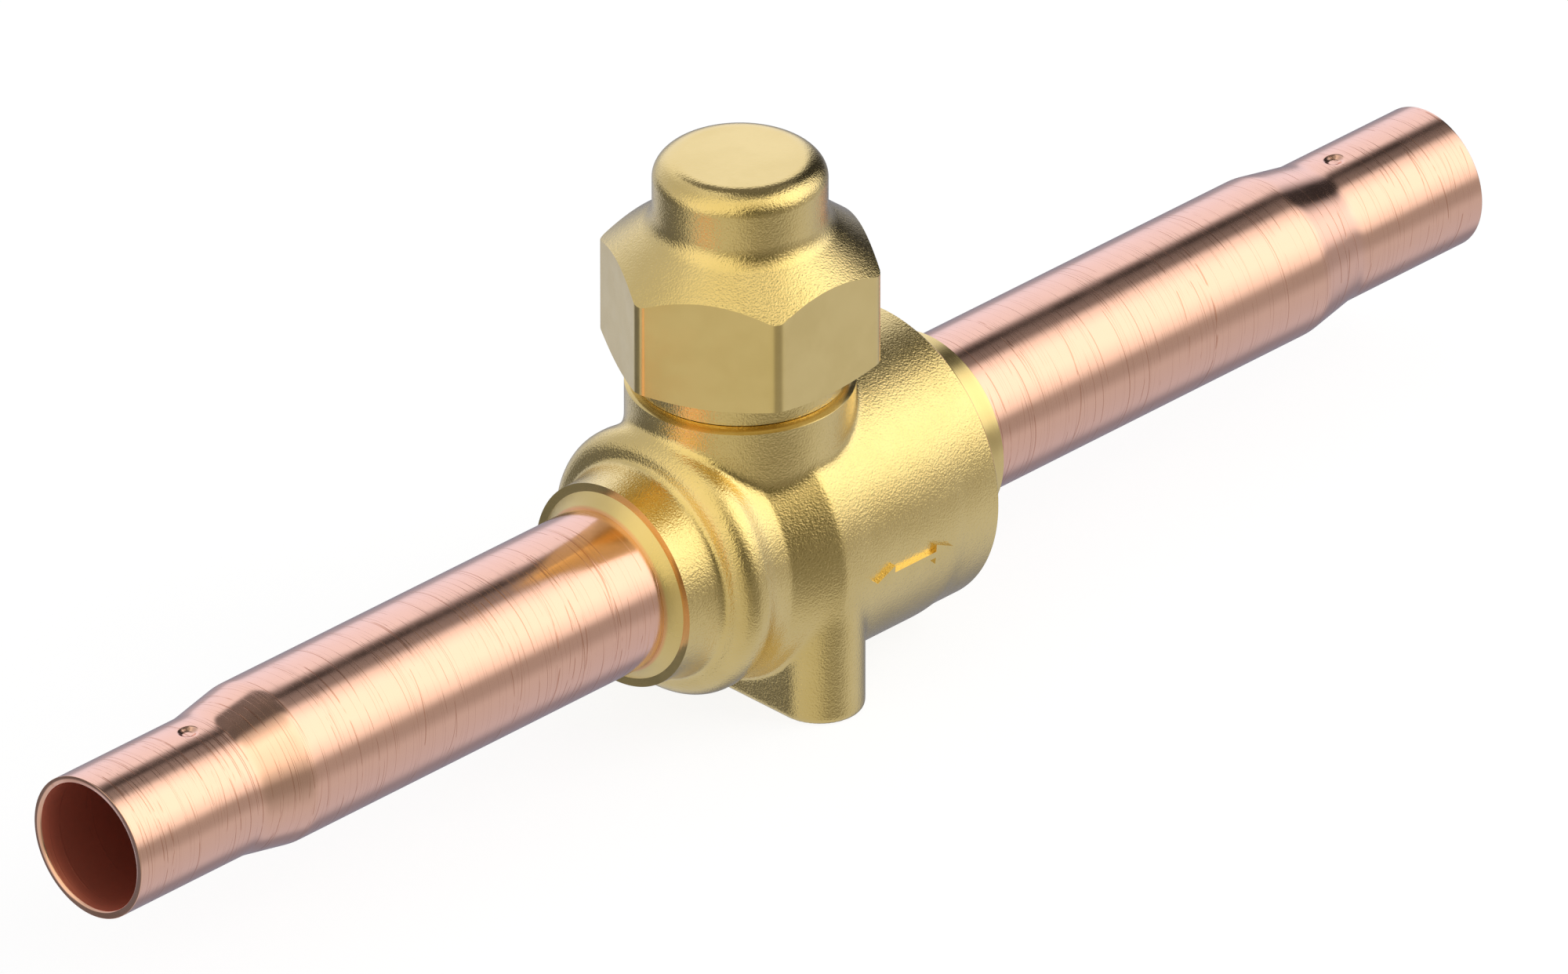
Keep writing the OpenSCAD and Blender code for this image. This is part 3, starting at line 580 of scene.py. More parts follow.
# %% Chromed ball
CHROME_DEEP, CHROME_LIGHT = (0.66, 0.67, 0.69), (0.74, 0.745, 0.75)
LAPPING_DULLS = 0.10
plating = Finish("chromed_ball", FLOW_AXIS, Metallic=1.0)
lapped = plating.effect(hairlines, Lines=12.0, Slant=4.0, Amount=0.45, Seed=5.0)["Mask"]
marks = plating.effect(handling, Size=4.0)["Mask"]
roughness = plating.math("MULTIPLY_ADD", lapped, LAPPING_DULLS, plating.ramp(marks, 0, 1, 0.04, 0.10))
chromed_ball = plating.cover(plating.colours(marks, CHROME_DEEP, CHROME_LIGHT), roughness, lapped, 0.001)

# %% Plated stem and spring clip
ZINC_DEEP, ZINC_LIGHT = (0.50, 0.51, 0.53), (0.60, 0.60, 0.60)
PHOSPHATE_DEEP, PHOSPHATE_LIGHT = (0.028, 0.028, 0.030), (0.055, 0.054, 0.052)
stem_steel = turned_metal("plated_stem", STEM_AXIS, ZINC_DEEP, ZINC_LIGHT, 0.09, (0.24, 0.34), 0.008)
spring = Finish("phosphated_clip", Metallic=0.7)
grain = spring.effect(forged_grain, Grain_Size=0.06, Swell=1.0)
clip_steel = spring.cover(spring.colours(grain["Tone"], PHOSPHATE_DEEP, PHOSPHATE_LIGHT),
                          spring.ramp(grain["Height"], 0.4, 1.4, 0.42, 0.60), grain["Height"], 0.008)


# %% Seats, gasket and rubber
def moulded(name, axis, deep, light, grain_size, rough, depth):
    """A plastic or rubber with a moulded grain and faint rings from its tool."""
    plastic = Finish(name, axis)
    grain = plastic.effect(forged_grain, Grain_Size=grain_size, Swell=0.8)
    rings = plastic.effect(turned_rings, Ring_Width=0.15)
    return plastic.cover(
        plastic.colours(grain["Tone"], deep, light), plastic.ramp(rings["Tone"], 0, 1, *rough),
        plastic.math("MULTIPLY_ADD", rings["Height"], 0.5, grain["Height"]), depth)


SEAT_COLOURS = (0.80, 0.80, 0.77), (0.86, 0.86, 0.84)
GASKET_COLOURS = (0.66, 0.63, 0.52), (0.74, 0.71, 0.61)
RUBBER_COLOURS = (0.012, 0.012, 0.013), (0.022, 0.022, 0.023)
seat_plastic = moulded("waxy_seat", FLOW_AXIS, *SEAT_COLOURS, 0.3, (0.34, 0.46), 0.006)
stem_plastic = moulded("waxy_washer", STEM_AXIS, *SEAT_COLOURS, 0.3, (0.34, 0.46), 0.006)
gasket_plastic = moulded("nylon_gasket", STEM_AXIS, *GASKET_COLOURS, 0.2, (0.42, 0.55), 0.008)
flow_rubber = moulded("flow_seal_rubber", FLOW_AXIS, *RUBBER_COLOURS, 0.12, (0.5, 0.66), 0.010)
stem_rubber = moulded("stem_seal_rubber", STEM_AXIS, *RUBBER_COLOURS, 0.12, (0.5, 0.66), 0.010)

# %% [markdown]
# ## Helpers for turned pieces and for cuts
#
# Most of this valve is turned on a lathe. A lathe outline is a list of (radius, station) points, and
# spinning it round its axis gives the solid. A boolean then cuts or joins solids, as the tool does.


# %% Lathe
def mesh_object(name, bm, finish=None):
    """An object in the scene from a bmesh, with its place in its mesh."""
    mesh = bpy.data.meshes.new(name)
    bm.to_mesh(mesh)
    bm.free()
    if finish:
        mesh.materials.append(finish)
    made = bpy.data.objects.new(name, mesh)
    bpy.context.scene.collection.objects.link(made)
    return made


def on_flow(radius, station, angle):
    """A point round the flow axis; its angle starts at +Z and turns toward +Y."""
    return Vector((station, radius * math.sin(angle), AXIS_Z + radius * math.cos(angle))) * MM


def on_stem(radius, station, angle):
    """A point round the stem axis; its angle starts at +X and turns toward +Y."""
    return Vector((radius * math.cos(angle), radius * math.sin(angle), station)) * MM


def lathe(name, outline, place, finish=None, segments=256):
    """A closed outline of (radius, station) points turned round an axis, in millimetres."""
    bm = bmesh.new()
    rings = []
    for radius, station in outline:
        if radius <= 0:
            rings.append([bm.verts.new(place(0, station, 0))] * segments)
        else:
            rings.append([bm.verts.new(place(radius, station, math.tau * i / segments))
                          for i in range(segments)])
    for ring, after in zip(rings, rings[1:] + rings[:1]):
        for i in range(segments):
            j = (i + 1) % segments
            corners = [ring[i], ring[j], after[j], after[i]]
            corners = [v for n, v in enumerate(corners) if v not in corners[:n]]
            if len(corners) > 2:
                bm.faces.new(corners)
    bmesh.ops.recalc_face_normals(bm, faces=bm.faces)
    return mesh_object(name, bm, finish)


print("lathe ready, flow axis at", round(AXIS_Z, 3), "mm")


# %% Outlines: even steps, arcs, and a flat outline pulled up to a bar
def evenly(start, end, steps):
    """Evenly spaced values from start to end, both included."""
    return [start + (end - start) * i / steps for i in range(steps + 1)]


def arc(radius, station, round_r, start, end, steps=12):
    """Outline points on an arc about (radius, station), in degrees; 0 points away from the axis."""
    turns = [math.radians(angle) for angle in evenly(start, end, steps)]
    return [(radius + round_r * math.cos(a), station + round_r * math.sin(a)) for a in turns]


def bar(name, outline, low, high, finish):
    """An upright bar from one height to another, with a flat outline of (x, y) points in millimetres."""
    bm = bmesh.new()
    base = bm.faces.new([bm.verts.new(Vector((x, y, low)) * MM) for x, y in outline])
    grown = bmesh.ops.extrude_face_region(bm, geom=[base])
    top = [part for part in grown["geom"] if isinstance(part, bmesh.types.BMVert)]
    bmesh.ops.translate(bm, verts=top, vec=Vector((0, 0, (high - low) * MM)))
    bmesh.ops.recalc_face_normals(bm, faces=bm.faces)
    return mesh_object(name, bm, finish)


print("a quarter round in three steps:", [(round(r, 2), round(s, 2)) for r, s in arc(0, 0, 1, 0, 90, 3)])


# %% Cuts and joins, kept as plain meshes
def settle(piece):
    """Turns a piece and its modifiers into a plain mesh."""
    graph = bpy.context.evaluated_depsgraph_get()
    mesh = bpy.data.meshes.new_from_object(piece.evaluated_get(graph))
    piece.modifiers.clear()
    old, piece.data = piece.data, mesh
    mesh.name = piece.name
    bpy.data.meshes.remove(old)
    return piece


def combine(piece, other, operation):
    """Cuts other from piece, or joins it to piece, and removes other."""
    cut = piece.modifiers.new(operation.lower(), "BOOLEAN")
    cut.object, cut.operation, cut.solver = other, operation, "MANIFOLD"
    cut.material_mode = "TRANSFER"
    print(operation.lower(), other.name, "with", piece.name)
    settle(piece)
    bpy.data.objects.remove(other)


# %% Shading, a second finish, and a line that reports each piece
def shade(piece, crease):
    """Smooth shading with sharp edges above the crease angle, and wide faces kept evenly flat."""
    piece.data.shade_smooth()
    piece.data.set_sharp_from_angle(angle=math.radians(crease))
    even = piece.modifiers.new("even_faces", "WEIGHTED_NORMAL")
    even.keep_sharp = True
    settle(piece)


def second_finish(piece, finish, wanted):
    """Gives a second finish to the faces that the rule picks."""
    piece.data.materials.append(finish)
    picked = [face for face in piece.data.polygons if wanted(face)]
    for face in picked:
        face.material_index = len(piece.data.materials) - 1
    print(piece.name, "has", len(picked), "faces in", finish.name)


def count(piece):
    """How many triangles a piece has, and its box, in millimetres."""
    piece.data.calc_loop_triangles()
    low, high = (Vector(f(v.co[i] for v in piece.data.vertices) for i in range(3)) / MM for f in (min, max))
    print(piece.name, len(piece.data.loop_triangles), "triangles,",
          [round(v, 2) for v in low], "to", [round(v, 2) for v in high])


# %% [markdown]
# ## The forged body, first as a blank
#
# A forging has no sharp inner corners: the metal flows round every join in a soft fillet. Modelling
# such fillets by hand is slow, so the blank is written as a rule. For each point in space the rule
# says how far the point lies from the blank's skin, and a smooth minimum joins the barrel, bonnet,
# nose, neck and foot with fillets. Geometry Nodes samples the rule on a grid, turns it into a mesh
# and then pulls each vertex exactly onto the skin.

# %% The blank's sizes, in millimetres
BLANK = {
    "Axis Height": AXIS_Z, "Barrel Radius": BARREL_R, "Barrel End": BARREL_END,
    "Shoulder Start": -6.1, "Shoulder End": -1.0, "Waist Radius": 13.15, "Waist Start": -9.3,
    "Nose Station": -10.195, "Nose Centre Radius": 11.1, "Nose Round": 2.4,
    "Neck Radius": 10.285, "Neck End": NECK_END,
    "Belly Drop": 0.3, "Belly End": 14.255, "Belly Blend": 2.2,
    "Bonnet Radius": BONNET_R, "Bonnet Face": BONNET_FACE,
    "Foot Radius": 4.33, "Foot Half Pitch": 10.6, "Foot Round": 0.9,
    "Neck Fillet": 1.4, "Nose Fillet": 1.1, "Foot Fillet": 0.6, "Belly Fillet": 0.5,
    "Bonnet Fillet": 0.9, "Bonnet Front Fillet": 1.4,
}
print("the blank has", len(BLANK), "sizes")

# %% The rule's inputs: a point in millimetres and the blank's sizes
distance_rule = new_tree("forging_distance", "GeometryNodeTree",
                         {"Position": (VECTOR, None), **{name: (FLOAT, 0) for name in BLANK}},
                         {"Distance": (FLOAT, None)})
wire = Wiring(distance_rule)
size = wire.node("NodeGroupInput").outputs
point = wire.xyz(wire.scale(size["Position"], 1 / MM))
x, y, z = point["X"], point["Y"], point["Z"]
flow_radial = wire.length(y, wire.less(z, size["Axis Height"]))
stem_radial = wire.length(x, y)
tell(distance_rule)

# %% Rule of the barrel: a cylinder, with a shoulder cone at the front
SHOULDER_SOFT, PAST_END = 0.25, 1
rise = wire.less(size["Barrel Radius"], size["Waist Radius"])
slope = wire.math("DIVIDE", rise, wire.less(size["Shoulder End"], size["Shoulder Start"]))
cone_r = wire.math("MULTIPLY_ADD", wire.less(x, size["Shoulder Start"]), slope, size["Waist Radius"])
lean = wire.math("COSINE", wire.math("ARCTANGENT", slope))


def barrel_about(radial):
    """The barrel with its shoulder, from the distance to its centre line."""
    cone = wire.math("MULTIPLY", wire.less(radial, cone_r), lean)
    return wire.math("SMOOTH_MAX", wire.less(radial, size["Barrel Radius"]), cone, SHOULDER_SOFT)


barrel_stop = wire.math("ADD", size["Barrel End"], PAST_END)
barrel = wire.largest(barrel_about(flow_radial), wire.less(x, barrel_stop))
tell(distance_rule)

# %% Rule of the belly: the same barrel hung a little lower, which fades before the machined mouth
BELLY_SOFT, BELLY_TAIL = 0.4, 1.5
belly_height = wire.less(size["Axis Height"], size["Belly Drop"])
belly_radial = wire.length(y, wire.less(z, belly_height))
past_belly = wire.less(x, size["Belly End"])
fade = wire.math("DIVIDE", wire.math("MULTIPLY", size["Belly Drop"], 2), size["Belly Blend"])
tail = wire.math("MULTIPLY_ADD", past_belly, fade, wire.less(belly_radial, size["Barrel Radius"]))
belly = wire.math("SMOOTH_MAX", barrel_about(belly_radial), tail, BELLY_SOFT)
belly = wire.largest(belly, wire.less(past_belly, wire.math("MULTIPLY", size["Belly Blend"], BELLY_TAIL)))
tell(distance_rule)

# %% Rule of the waist, the rounded nose and the neck
NECK_DRAFT = 0.042
waist = wire.largest(wire.less(flow_radial, size["Waist Radius"]), wire.less(size["Waist Start"], x), x)
nose = wire.less(wire.length(wire.less(flow_radial, size["Nose Centre Radius"]),
                             wire.less(x, size["Nose Station"])), size["Nose Round"])
core = wire.largest(wire.less(flow_radial, size["Nose Centre Radius"]), wire.less(size["Nose Station"], x), x)
neck_r = wire.math("MULTIPLY_ADD", wire.less(x, size["Neck End"]), NECK_DRAFT, size["Neck Radius"])
neck_stop = wire.less(size["Neck End"], PAST_END)
neck = wire.largest(wire.less(flow_radial, neck_r), wire.less(neck_stop, x), x)
tell(distance_rule)

# %% Rule of the bonnet under the cap, and of the foot with a boss at each end
bonnet_stop = wire.math("ADD", size["Bonnet Face"], PAST_END)
bonnet = wire.largest(wire.less(stem_radial, size["Bonnet Radius"]), wire.less(size["Axis Height"], z),
                      wire.less(z, bonnet_stop))
below_face = wire.math("MULTIPLY", z, -1)
past_boss = wire.largest(wire.less(wire.math("ABSOLUTE", y), size["Foot Half Pitch"]), 0)
foot = wire.less(wire.length(x, past_boss), size["Foot Radius"])
foot = wire.math("SMOOTH_MAX", foot, below_face, size["Foot Round"])
foot = wire.largest(foot, wire.less(z, size["Axis Height"]))
tell(distance_rule)

# %% One skin: each part joined on with its own fillet
FRONT_X, BACK_X = -9, -3
skin = wire.math("MINIMUM", barrel, waist)
skin = wire.math("SMOOTH_MIN", skin, belly, size["Belly Fillet"])
skin = wire.math("SMOOTH_MIN", skin, wire.math("MINIMUM", nose, core), size["Nose Fillet"])
skin = wire.math("SMOOTH_MIN", skin, neck, size["Neck Fillet"])
skin = wire.math("SMOOTH_MIN", skin, foot, size["Foot Fillet"])
bonnet_fillet = wire.ramp(x, FRONT_X, BACK_X, size["Bonnet Front Fillet"], size["Bonnet Fillet"])
skin = wire.math("SMOOTH_MIN", skin, bonnet, bonnet_fillet)
wire.node("NodeGroupOutput", {"Distance": wire.largest(skin, below_face)})
tell(distance_rule)


# %% Three helpers for geometry trees: a place in millimetres, a move, and the end of a tree
def place_in_mm(wire):
    """Where each point of the geometry lies, in millimetres."""
    return wire.xyz(wire.scale(wire.node("GeometryNodeInputPosition").outputs[0], 1 / MM))


def move_points(wire, geometry, direction, distance, unit=MM):
    """Moves each point along a direction, by a distance in millimetres; a unit of -MM moves it back."""
    offset = wire.scale(direction, wire.math("MULTIPLY", distance, unit))
    return wire.node("GeometryNodeSetPosition", {"Geometry": geometry, "Offset": offset}).outputs[0]


def close_tree(wire, geometry, material):
    """Makes instances real, sets the finish and puts the geometry out."""
    real = wire.node("GeometryNodeRealizeInstances", {"Geometry": geometry}).outputs[0]
    painted = wire.node("GeometryNodeSetMaterial", {"Geometry": real, "Material": material}).outputs[0]
    wire.node("NodeGroupOutput", {"Geometry": painted})
    tell(wire.tree)


# %% The skin read on a grid, and meshed where the density passes one half
VOXEL, MARGIN, END_MARGIN = 0.25, 0.8, 2.5
GRID_LOW = Vector((NECK_END - END_MARGIN, -BARREL_R - MARGIN, -MARGIN))
GRID_HIGH = Vector((BARREL_END + END_MARGIN, BARREL_R + MARGIN, BONNET_FACE + END_MARGIN))
blank_tree = new_tree("forging_blank", "GeometryNodeTree",
                      {"Geometry": (GEOMETRY, None), "Voxel": (FLOAT, VOXEL), "Material": (MATERIAL, None),
                       **{name: (FLOAT, round(value, 4)) for name, value in BLANK.items()}},
                      {"Geometry": (GEOMETRY, None)})
wire = Wiring(blank_tree)
size = wire.node("NodeGroupInput").outputs


def skin_distance():
    """The rule at each point of whatever it is read on."""
    position = wire.node("GeometryNodeInputPosition").outputs[0]
    return wire.node("GeometryNodeGroup", node_tree=distance_rule, inputs={
        "Position": position, **{name: size[name] for name in BLANK}}).outputs["Distance"]


density = wire.math("MULTIPLY_ADD", skin_distance(), -0.5, 0.5)
grid = wire.node("GeometryNodeVolumeCube", {
    "Density": density, "Background": 0.0, "Min": GRID_LOW * MM, "Max": GRID_HIGH * MM})
for axis, side in zip("XYZ", GRID_HIGH - GRID_LOW):
    wire.join(wire.math("DIVIDE", side, size["Voxel"]), grid.inputs[f"Resolution {axis}"])
geometry = wire.node("GeometryNodeVolumeToMesh", {
    "Volume": grid.outputs["Volume"], "Threshold": 0.5, "Adaptivity": 0.0}).outputs["Mesh"]
tell(blank_tree)

# %% Three pulls, each of which moves every vertex back by its own distance from the skin
PULLS = 3
for _ in range(PULLS):
    normal = wire.node("GeometryNodeInputNormal").outputs[0]
    geometry = move_points(wire, geometry, normal, skin_distance(), -MM)
close_tree(wire, geometry, size["Material"])


# %% The blank itself
def run_tree(piece, tree, values):
    """Runs a geometry tree on a piece and keeps the result as a plain mesh."""
    modifier = piece.modifiers.new(tree.name, "NODES")
    modifier.node_group = tree
    for item in tree.interface.items_tree:
        if item.item_type == "SOCKET" and item.in_out == "INPUT" and item.name in values:
            modifier[item.identifier] = values[item.name]
    return settle(piece)


valve_forging = run_tree(mesh_object("forged_body", bmesh.new()), blank_tree,
                         {**{name: float(value) for name, value in BLANK.items()}, "Material": forged_brass})
count(valve_forging)

# %% [markdown]
# ## Machining the forging
#
# The blank is then machined as the real one is: one boring cutter along the flow axis faces the neck,
# bores the tube socket, the seat pocket, the ball chamber and the closure's seat, and chamfers the
# barrel's mouth. A second cutter along the stem axis faces the bonnet. Cutting after the fillets are
# made keeps the machined edges crisp while the forged ones stay soft.

# %% Boring cutter along the flow axis
SOCKET_R, SOCKET_END = TUBE_R + 0.05, NECK_END + 4
PORT_R, SEAT_POCKET_R, CHAMBER_R, CLOSURE_BORE_R, FLANGE_BORE_R = 7.4, 10.05, 11.25, 12.4, 13.4
SEAT_BACK, POCKET_MOUTH, FLANGE_SEAT = -11.595, -5.495, 17.195
CHAMBER_END = -POCKET_MOUTH - 0.5
MOUTH_BEVEL, BEVEL_PAST = 0.3, 0.1
BEVEL_END = BARREL_END - MOUTH_BEVEL - BEVEL_PAST
CLEAR = 20
flow_cutter = lathe("flow_cutter", [
    (0, NECK_END - CLEAR), (CLEAR, NECK_END - CLEAR), (CLEAR, NECK_END), (SOCKET_R, NECK_END),
    (SOCKET_R, SOCKET_END), (PORT_R, SOCKET_END), (PORT_R, SEAT_BACK), (SEAT_POCKET_R, SEAT_BACK),
    (SEAT_POCKET_R, POCKET_MOUTH), (CHAMBER_R, POCKET_MOUTH), (CHAMBER_R, CHAMBER_END),
    (CLOSURE_BORE_R, CHAMBER_END), (CLOSURE_BORE_R, FLANGE_SEAT), (FLANGE_BORE_R, FLANGE_SEAT),
    (FLANGE_BORE_R, BARREL_END), (BARREL_R - MOUTH_BEVEL, BARREL_END), (BARREL_R + BEVEL_PAST, BEVEL_END),
    (CLEAR, BEVEL_END), (CLEAR, BARREL_END + CLEAR), (0, BARREL_END + CLEAR)], on_flow, turned_brass, 192)
combine(valve_forging, flow_cutter, "DIFFERENCE")

# %% Facing cutter along the stem axis
STEM_BORE_R, COLLAR_POCKET_R, COLLAR_POCKET_TOP = 4.55, 6.0, 30.5
FACE_BEVEL_WIDE, FACE_BEVEL_END, FACE_PAST = 0.6, BONNET_FACE - 0.465, 0.02
stem_cutter = lathe("stem_cutter", [
    (0, AXIS_Z), (COLLAR_POCKET_R, AXIS_Z), (COLLAR_POCKET_R, COLLAR_POCKET_TOP),
    (STEM_BORE_R, COLLAR_POCKET_TOP), (STEM_BORE_R, BONNET_FACE), (BONNET_R - FACE_BEVEL_WIDE, BONNET_FACE),
    (BONNET_R + FACE_PAST, FACE_BEVEL_END), (CLEAR, FACE_BEVEL_END),
    (CLEAR, BONNET_FACE + CLEAR), (0, BONNET_FACE + CLEAR)], on_stem, faced_brass, 192)
combine(valve_forging, stem_cutter, "DIFFERENCE")

# %% Two tapping holes in the foot
TAP_R, TAP_DEPTH, TAP_PAST = 1.65, 6, 1
for side in (-1, 1):
    tap = lathe("tap", [(0, -TAP_PAST), (TAP_R, -TAP_PAST), (TAP_R, TAP_DEPTH), (0, TAP_DEPTH)],
                on_stem, faced_brass, 48)
    tap.data.transform(Matrix.Translation((0, side * BLANK["Foot Half Pitch"] * MM, 0)))
    combine(valve_forging, tap, "DIFFERENCE")
count(valve_forging)

# %% [markdown]
# ## The thread
#
# The cap screws onto an M18 thread. A thread is a ridge that climbs one pitch in each turn, so how far
# a point of the surface stands out depends only on its height and its angle. One Geometry Nodes tree
# moves the points of a plain turned sleeve by that rule. It cuts the spigot's outside and, with the
# ridge turned inward, the cap's inside too, so the two mesh at every angle of the cap.

# %% Thread tree: the ridge at each point's height and angle
CREST_FLAT = 0.12
thread_tree = new_tree("cut_thread", "GeometryNodeTree", {
    "Geometry": (GEOMETRY, None), "Pitch": (FLOAT, THREAD_PITCH), "Surface Radius": (FLOAT, THREAD_R),
    "Depth": (FLOAT, 0.8), "Lowest": (FLOAT, 0), "Highest": (FLOAT, 1), "Run Out": (FLOAT, 0.6),
    "Material": (MATERIAL, None)}, {"Geometry": (GEOMETRY, None)})
wire = Wiring(thread_tree)
thread_in = wire.node("NodeGroupInput").outputs
place = place_in_mm(wire)
turns = wire.math("DIVIDE", wire.math("ARCTAN2", place["Y"], place["X"]), math.tau)
phase = wire.math("FRACT", wire.less(wire.math("DIVIDE", place["Z"], thread_in["Pitch"]), turns))
ridge = wire.math("MULTIPLY", wire.math("ABSOLUTE", wire.less(phase, 0.5)), 2)
flank = wire.ramp(ridge, CREST_FLAT, 1 - CREST_FLAT, style="LINEAR")
tell(thread_tree)

# %% Thread tree: a run-out at both ends, only on the threaded surface
SURFACE_REACH = 0.02
rise_to = wire.math("ADD", thread_in["Lowest"], thread_in["Run Out"])
fall_from = wire.less(thread_in["Highest"], thread_in["Run Out"])
rise = wire.ramp(place["Z"], thread_in["Lowest"], rise_to)
fall = wire.ramp(place["Z"], fall_from, thread_in["Highest"], 1, 0)
radial = wire.length(place["X"], place["Y"])
on_surface = wire.math("COMPARE", radial, thread_in["Surface Radius"], SURFACE_REACH)
outward = wire.vector("NORMALIZE", wire.combine(place["X"], place["Y"]))
standing = wire.math("MULTIPLY", wire.math("MULTIPLY", flank, thread_in["Depth"]),
                     wire.math("MULTIPLY", wire.math("MULTIPLY", rise, fall), on_surface))
close_tree(wire, move_points(wire, thread_in["Geometry"], outward, standing), thread_in["Material"])

# %% Spigot: a sleeve with closely spaced rings, threaded, then joined to the body
RUNOUT_R, RUNOUT_TOP, RECESS_R, RECESS_FLOOR = 8.05, BONNET_FACE + 1.4, 6.6, SPIGOT_RIM - 2.9
RIM_BEVEL, SPIGOT_SUNK = 0.5, 0.5
THREAD_LOW, THREAD_HIGH = RUNOUT_TOP + 0.9, SPIGOT_RIM - RIM_BEVEL
RUN_OUT, SPIGOT_DEPTH, SPIGOT_RINGS = 0.5, 0.82, 78
spigot_rings = [(THREAD_R, height) for height in evenly(THREAD_LOW, THREAD_HIGH, SPIGOT_RINGS)]
spigot_foot = BONNET_FACE - SPIGOT_SUNK
spigot = lathe("spigot", [
    (STEM_BORE_R, spigot_foot), (RUNOUT_R, spigot_foot), (RUNOUT_R, RUNOUT_TOP), *spigot_rings,
    (THREAD_R - RIM_BEVEL, SPIGOT_RIM), (RECESS_R, SPIGOT_RIM), (RECESS_R, RECESS_FLOOR),
    (STEM_BORE_R, RECESS_FLOOR)], on_stem, faced_brass, 192)
run_tree(spigot, thread_tree, {"Surface Radius": THREAD_R, "Depth": -SPIGOT_DEPTH, "Lowest": THREAD_LOW,
                               "Highest": THREAD_HIGH, "Pitch": THREAD_PITCH, "Run Out": RUN_OUT,
                               "Material": faced_brass})
combine(valve_forging, spigot, "UNION")

# %% Two stop posts in the rim's recess
POST_TOP, POST_IN, POST_R, POST_SUNK = RECESS_FLOOR + 2.3, 1.53, 5.5, 0.2


def post_angles(radius):
    """Where a post begins and ends round a circle, so that its sides stay clear of the two centre lines."""
    return math.asin(POST_IN / radius), math.acos(POST_IN / radius)


post_low, post_high = post_angles(POST_R)
sunk_low, sunk_high = post_angles(RECESS_R + POST_SUNK)
post = [(POST_R, angle) for angle in evenly(post_low, post_high, 12)]
post += [(RECESS_R + POST_SUNK, angle) for angle in evenly(sunk_high, sunk_low, 12)]
for turn_by in (0, math.pi):
    outline = [(r * math.cos(angle + turn_by), r * math.sin(angle + turn_by)) for r, angle in post]
    stop_post = bar("stop_post", outline, RECESS_FLOOR - POST_SUNK, POST_TOP, faced_brass)
    combine(valve_forging, stop_post, "UNION")
count(valve_forging)

# %% [markdown]
# ## A flow arrow on the barrel
#
# Such valves pass flow both ways, and a raised double arrow on the forging says so. It is a plain
# generic sign: a bar with a head at each end, wrapped round the barrel.

# %% Outline of the arrow, and its place on the barrel
ARROW_X, ARROW_TURN = 7.8, 5.8
ARROW_FOOT, ARROW_TOP = BARREL_R - 0.3, BARREL_R + 0.55
ARROW_HALF, ARROW_HEAD, HEAD_HALF, BAR_HALF = 5.05, 2.3, 1.05, 0.32


def double_arrow(half, head_length, head, bar_half):
    """Outline of a bar with a head at each end, as (along, across) points."""
    upper = [(-half, 0), (-half + head_length, head), (-half + head_length, bar_half),
             (half - head_length, bar_half), (half - head_length, head), (half, 0)]
    return upper + [(along, -across) for along, across in upper[-2:0:-1]]


def on_barrel(along, across, radius):
    """A point on the barrel's near side; across runs up round the barrel."""
    angle = math.radians(-90 - ARROW_TURN) + across / BARREL_R
    return on_flow(radius, ARROW_X + along, angle)


arrow_outline = double_arrow(ARROW_HALF, ARROW_HEAD, HEAD_HALF, BAR_HALF)
print("arrow outline:", len(arrow_outline), "points")

# %% Raised double arrow, and the finished body
bm = bmesh.new()
foot_ring = [bm.verts.new(on_barrel(along, across, ARROW_FOOT)) for along, across in arrow_outline]
top_ring = [bm.verts.new(on_barrel(along, across, ARROW_TOP)) for along, across in arrow_outline]
bm.faces.new(foot_ring)
bm.faces.new(top_ring[::-1])
for i in range(len(foot_ring)):
    j = (i + 1) % len(foot_ring)
    bm.faces.new([foot_ring[i], top_ring[i], top_ring[j], foot_ring[j]])
bmesh.ops.triangulate(bm, faces=bm.faces)
bmesh.ops.recalc_face_normals(bm, faces=bm.faces)
combine(valve_forging, mesh_object("arrow", bm, forged_brass), "UNION")
shade(valve_forging, 38)
count(valve_forging)
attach(valve_forging, "valve")
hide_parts("valve_body")

# %% [markdown]
# ## The copper tubes
#
# Each end is one copper tube. On the real valve its mouth is drawn down through a die to the size of
# the pipe that it takes, and two punch marks stop the pipe. The lesson does the same: a plain sleeve
# is turned first, and a Geometry Nodes tree then draws its end down by a rule, so both skins of the
# wall move in together, and pushes in the two punch marks.

# %% Tree that draws an end down: how far the wall moves in
draw_tree = new_tree("draw_down", "GeometryNodeTree", {
    "Geometry": (GEOMETRY, None), "Axis Height": (FLOAT, AXIS_Z), "Mouth": (FLOAT, 0.0),
    "Reduction": (FLOAT, 1.03), "End Length": (FLOAT, 16.1), "Taper Length": (FLOAT, 5.9),
    "Softness": (FLOAT, 0.3), "Stop Distance": (FLOAT, 13.1), "Punch Radius": (FLOAT, 1.0),
    "Punch Depth": (FLOAT, 1.0), "Material": (MATERIAL, None)}, {"Geometry": (GEOMETRY, None)})
wire = Wiring(draw_tree)
draw_in = wire.node("NodeGroupInput").outputs
place = place_in_mm(wire)
height = wire.less(place["Z"], draw_in["Axis Height"])
from_mouth = wire.math("ABSOLUTE", wire.less(place["X"], draw_in["Mouth"]))
slope = wire.math("DIVIDE", draw_in["Reduction"], draw_in["Taper Length"])
tube_start = wire.math("ADD", draw_in["End Length"], draw_in["Taper Length"])
line = wire.math("MULTIPLY", wire.less(tube_start, from_mouth), slope)
shrink = wire.math("SMOOTH_MAX", line, 0.0, draw_in["Softness"])
shrink = wire.math("SMOOTH_MIN", shrink, draw_in["Reduction"], draw_in["Softness"])
tell(draw_tree)

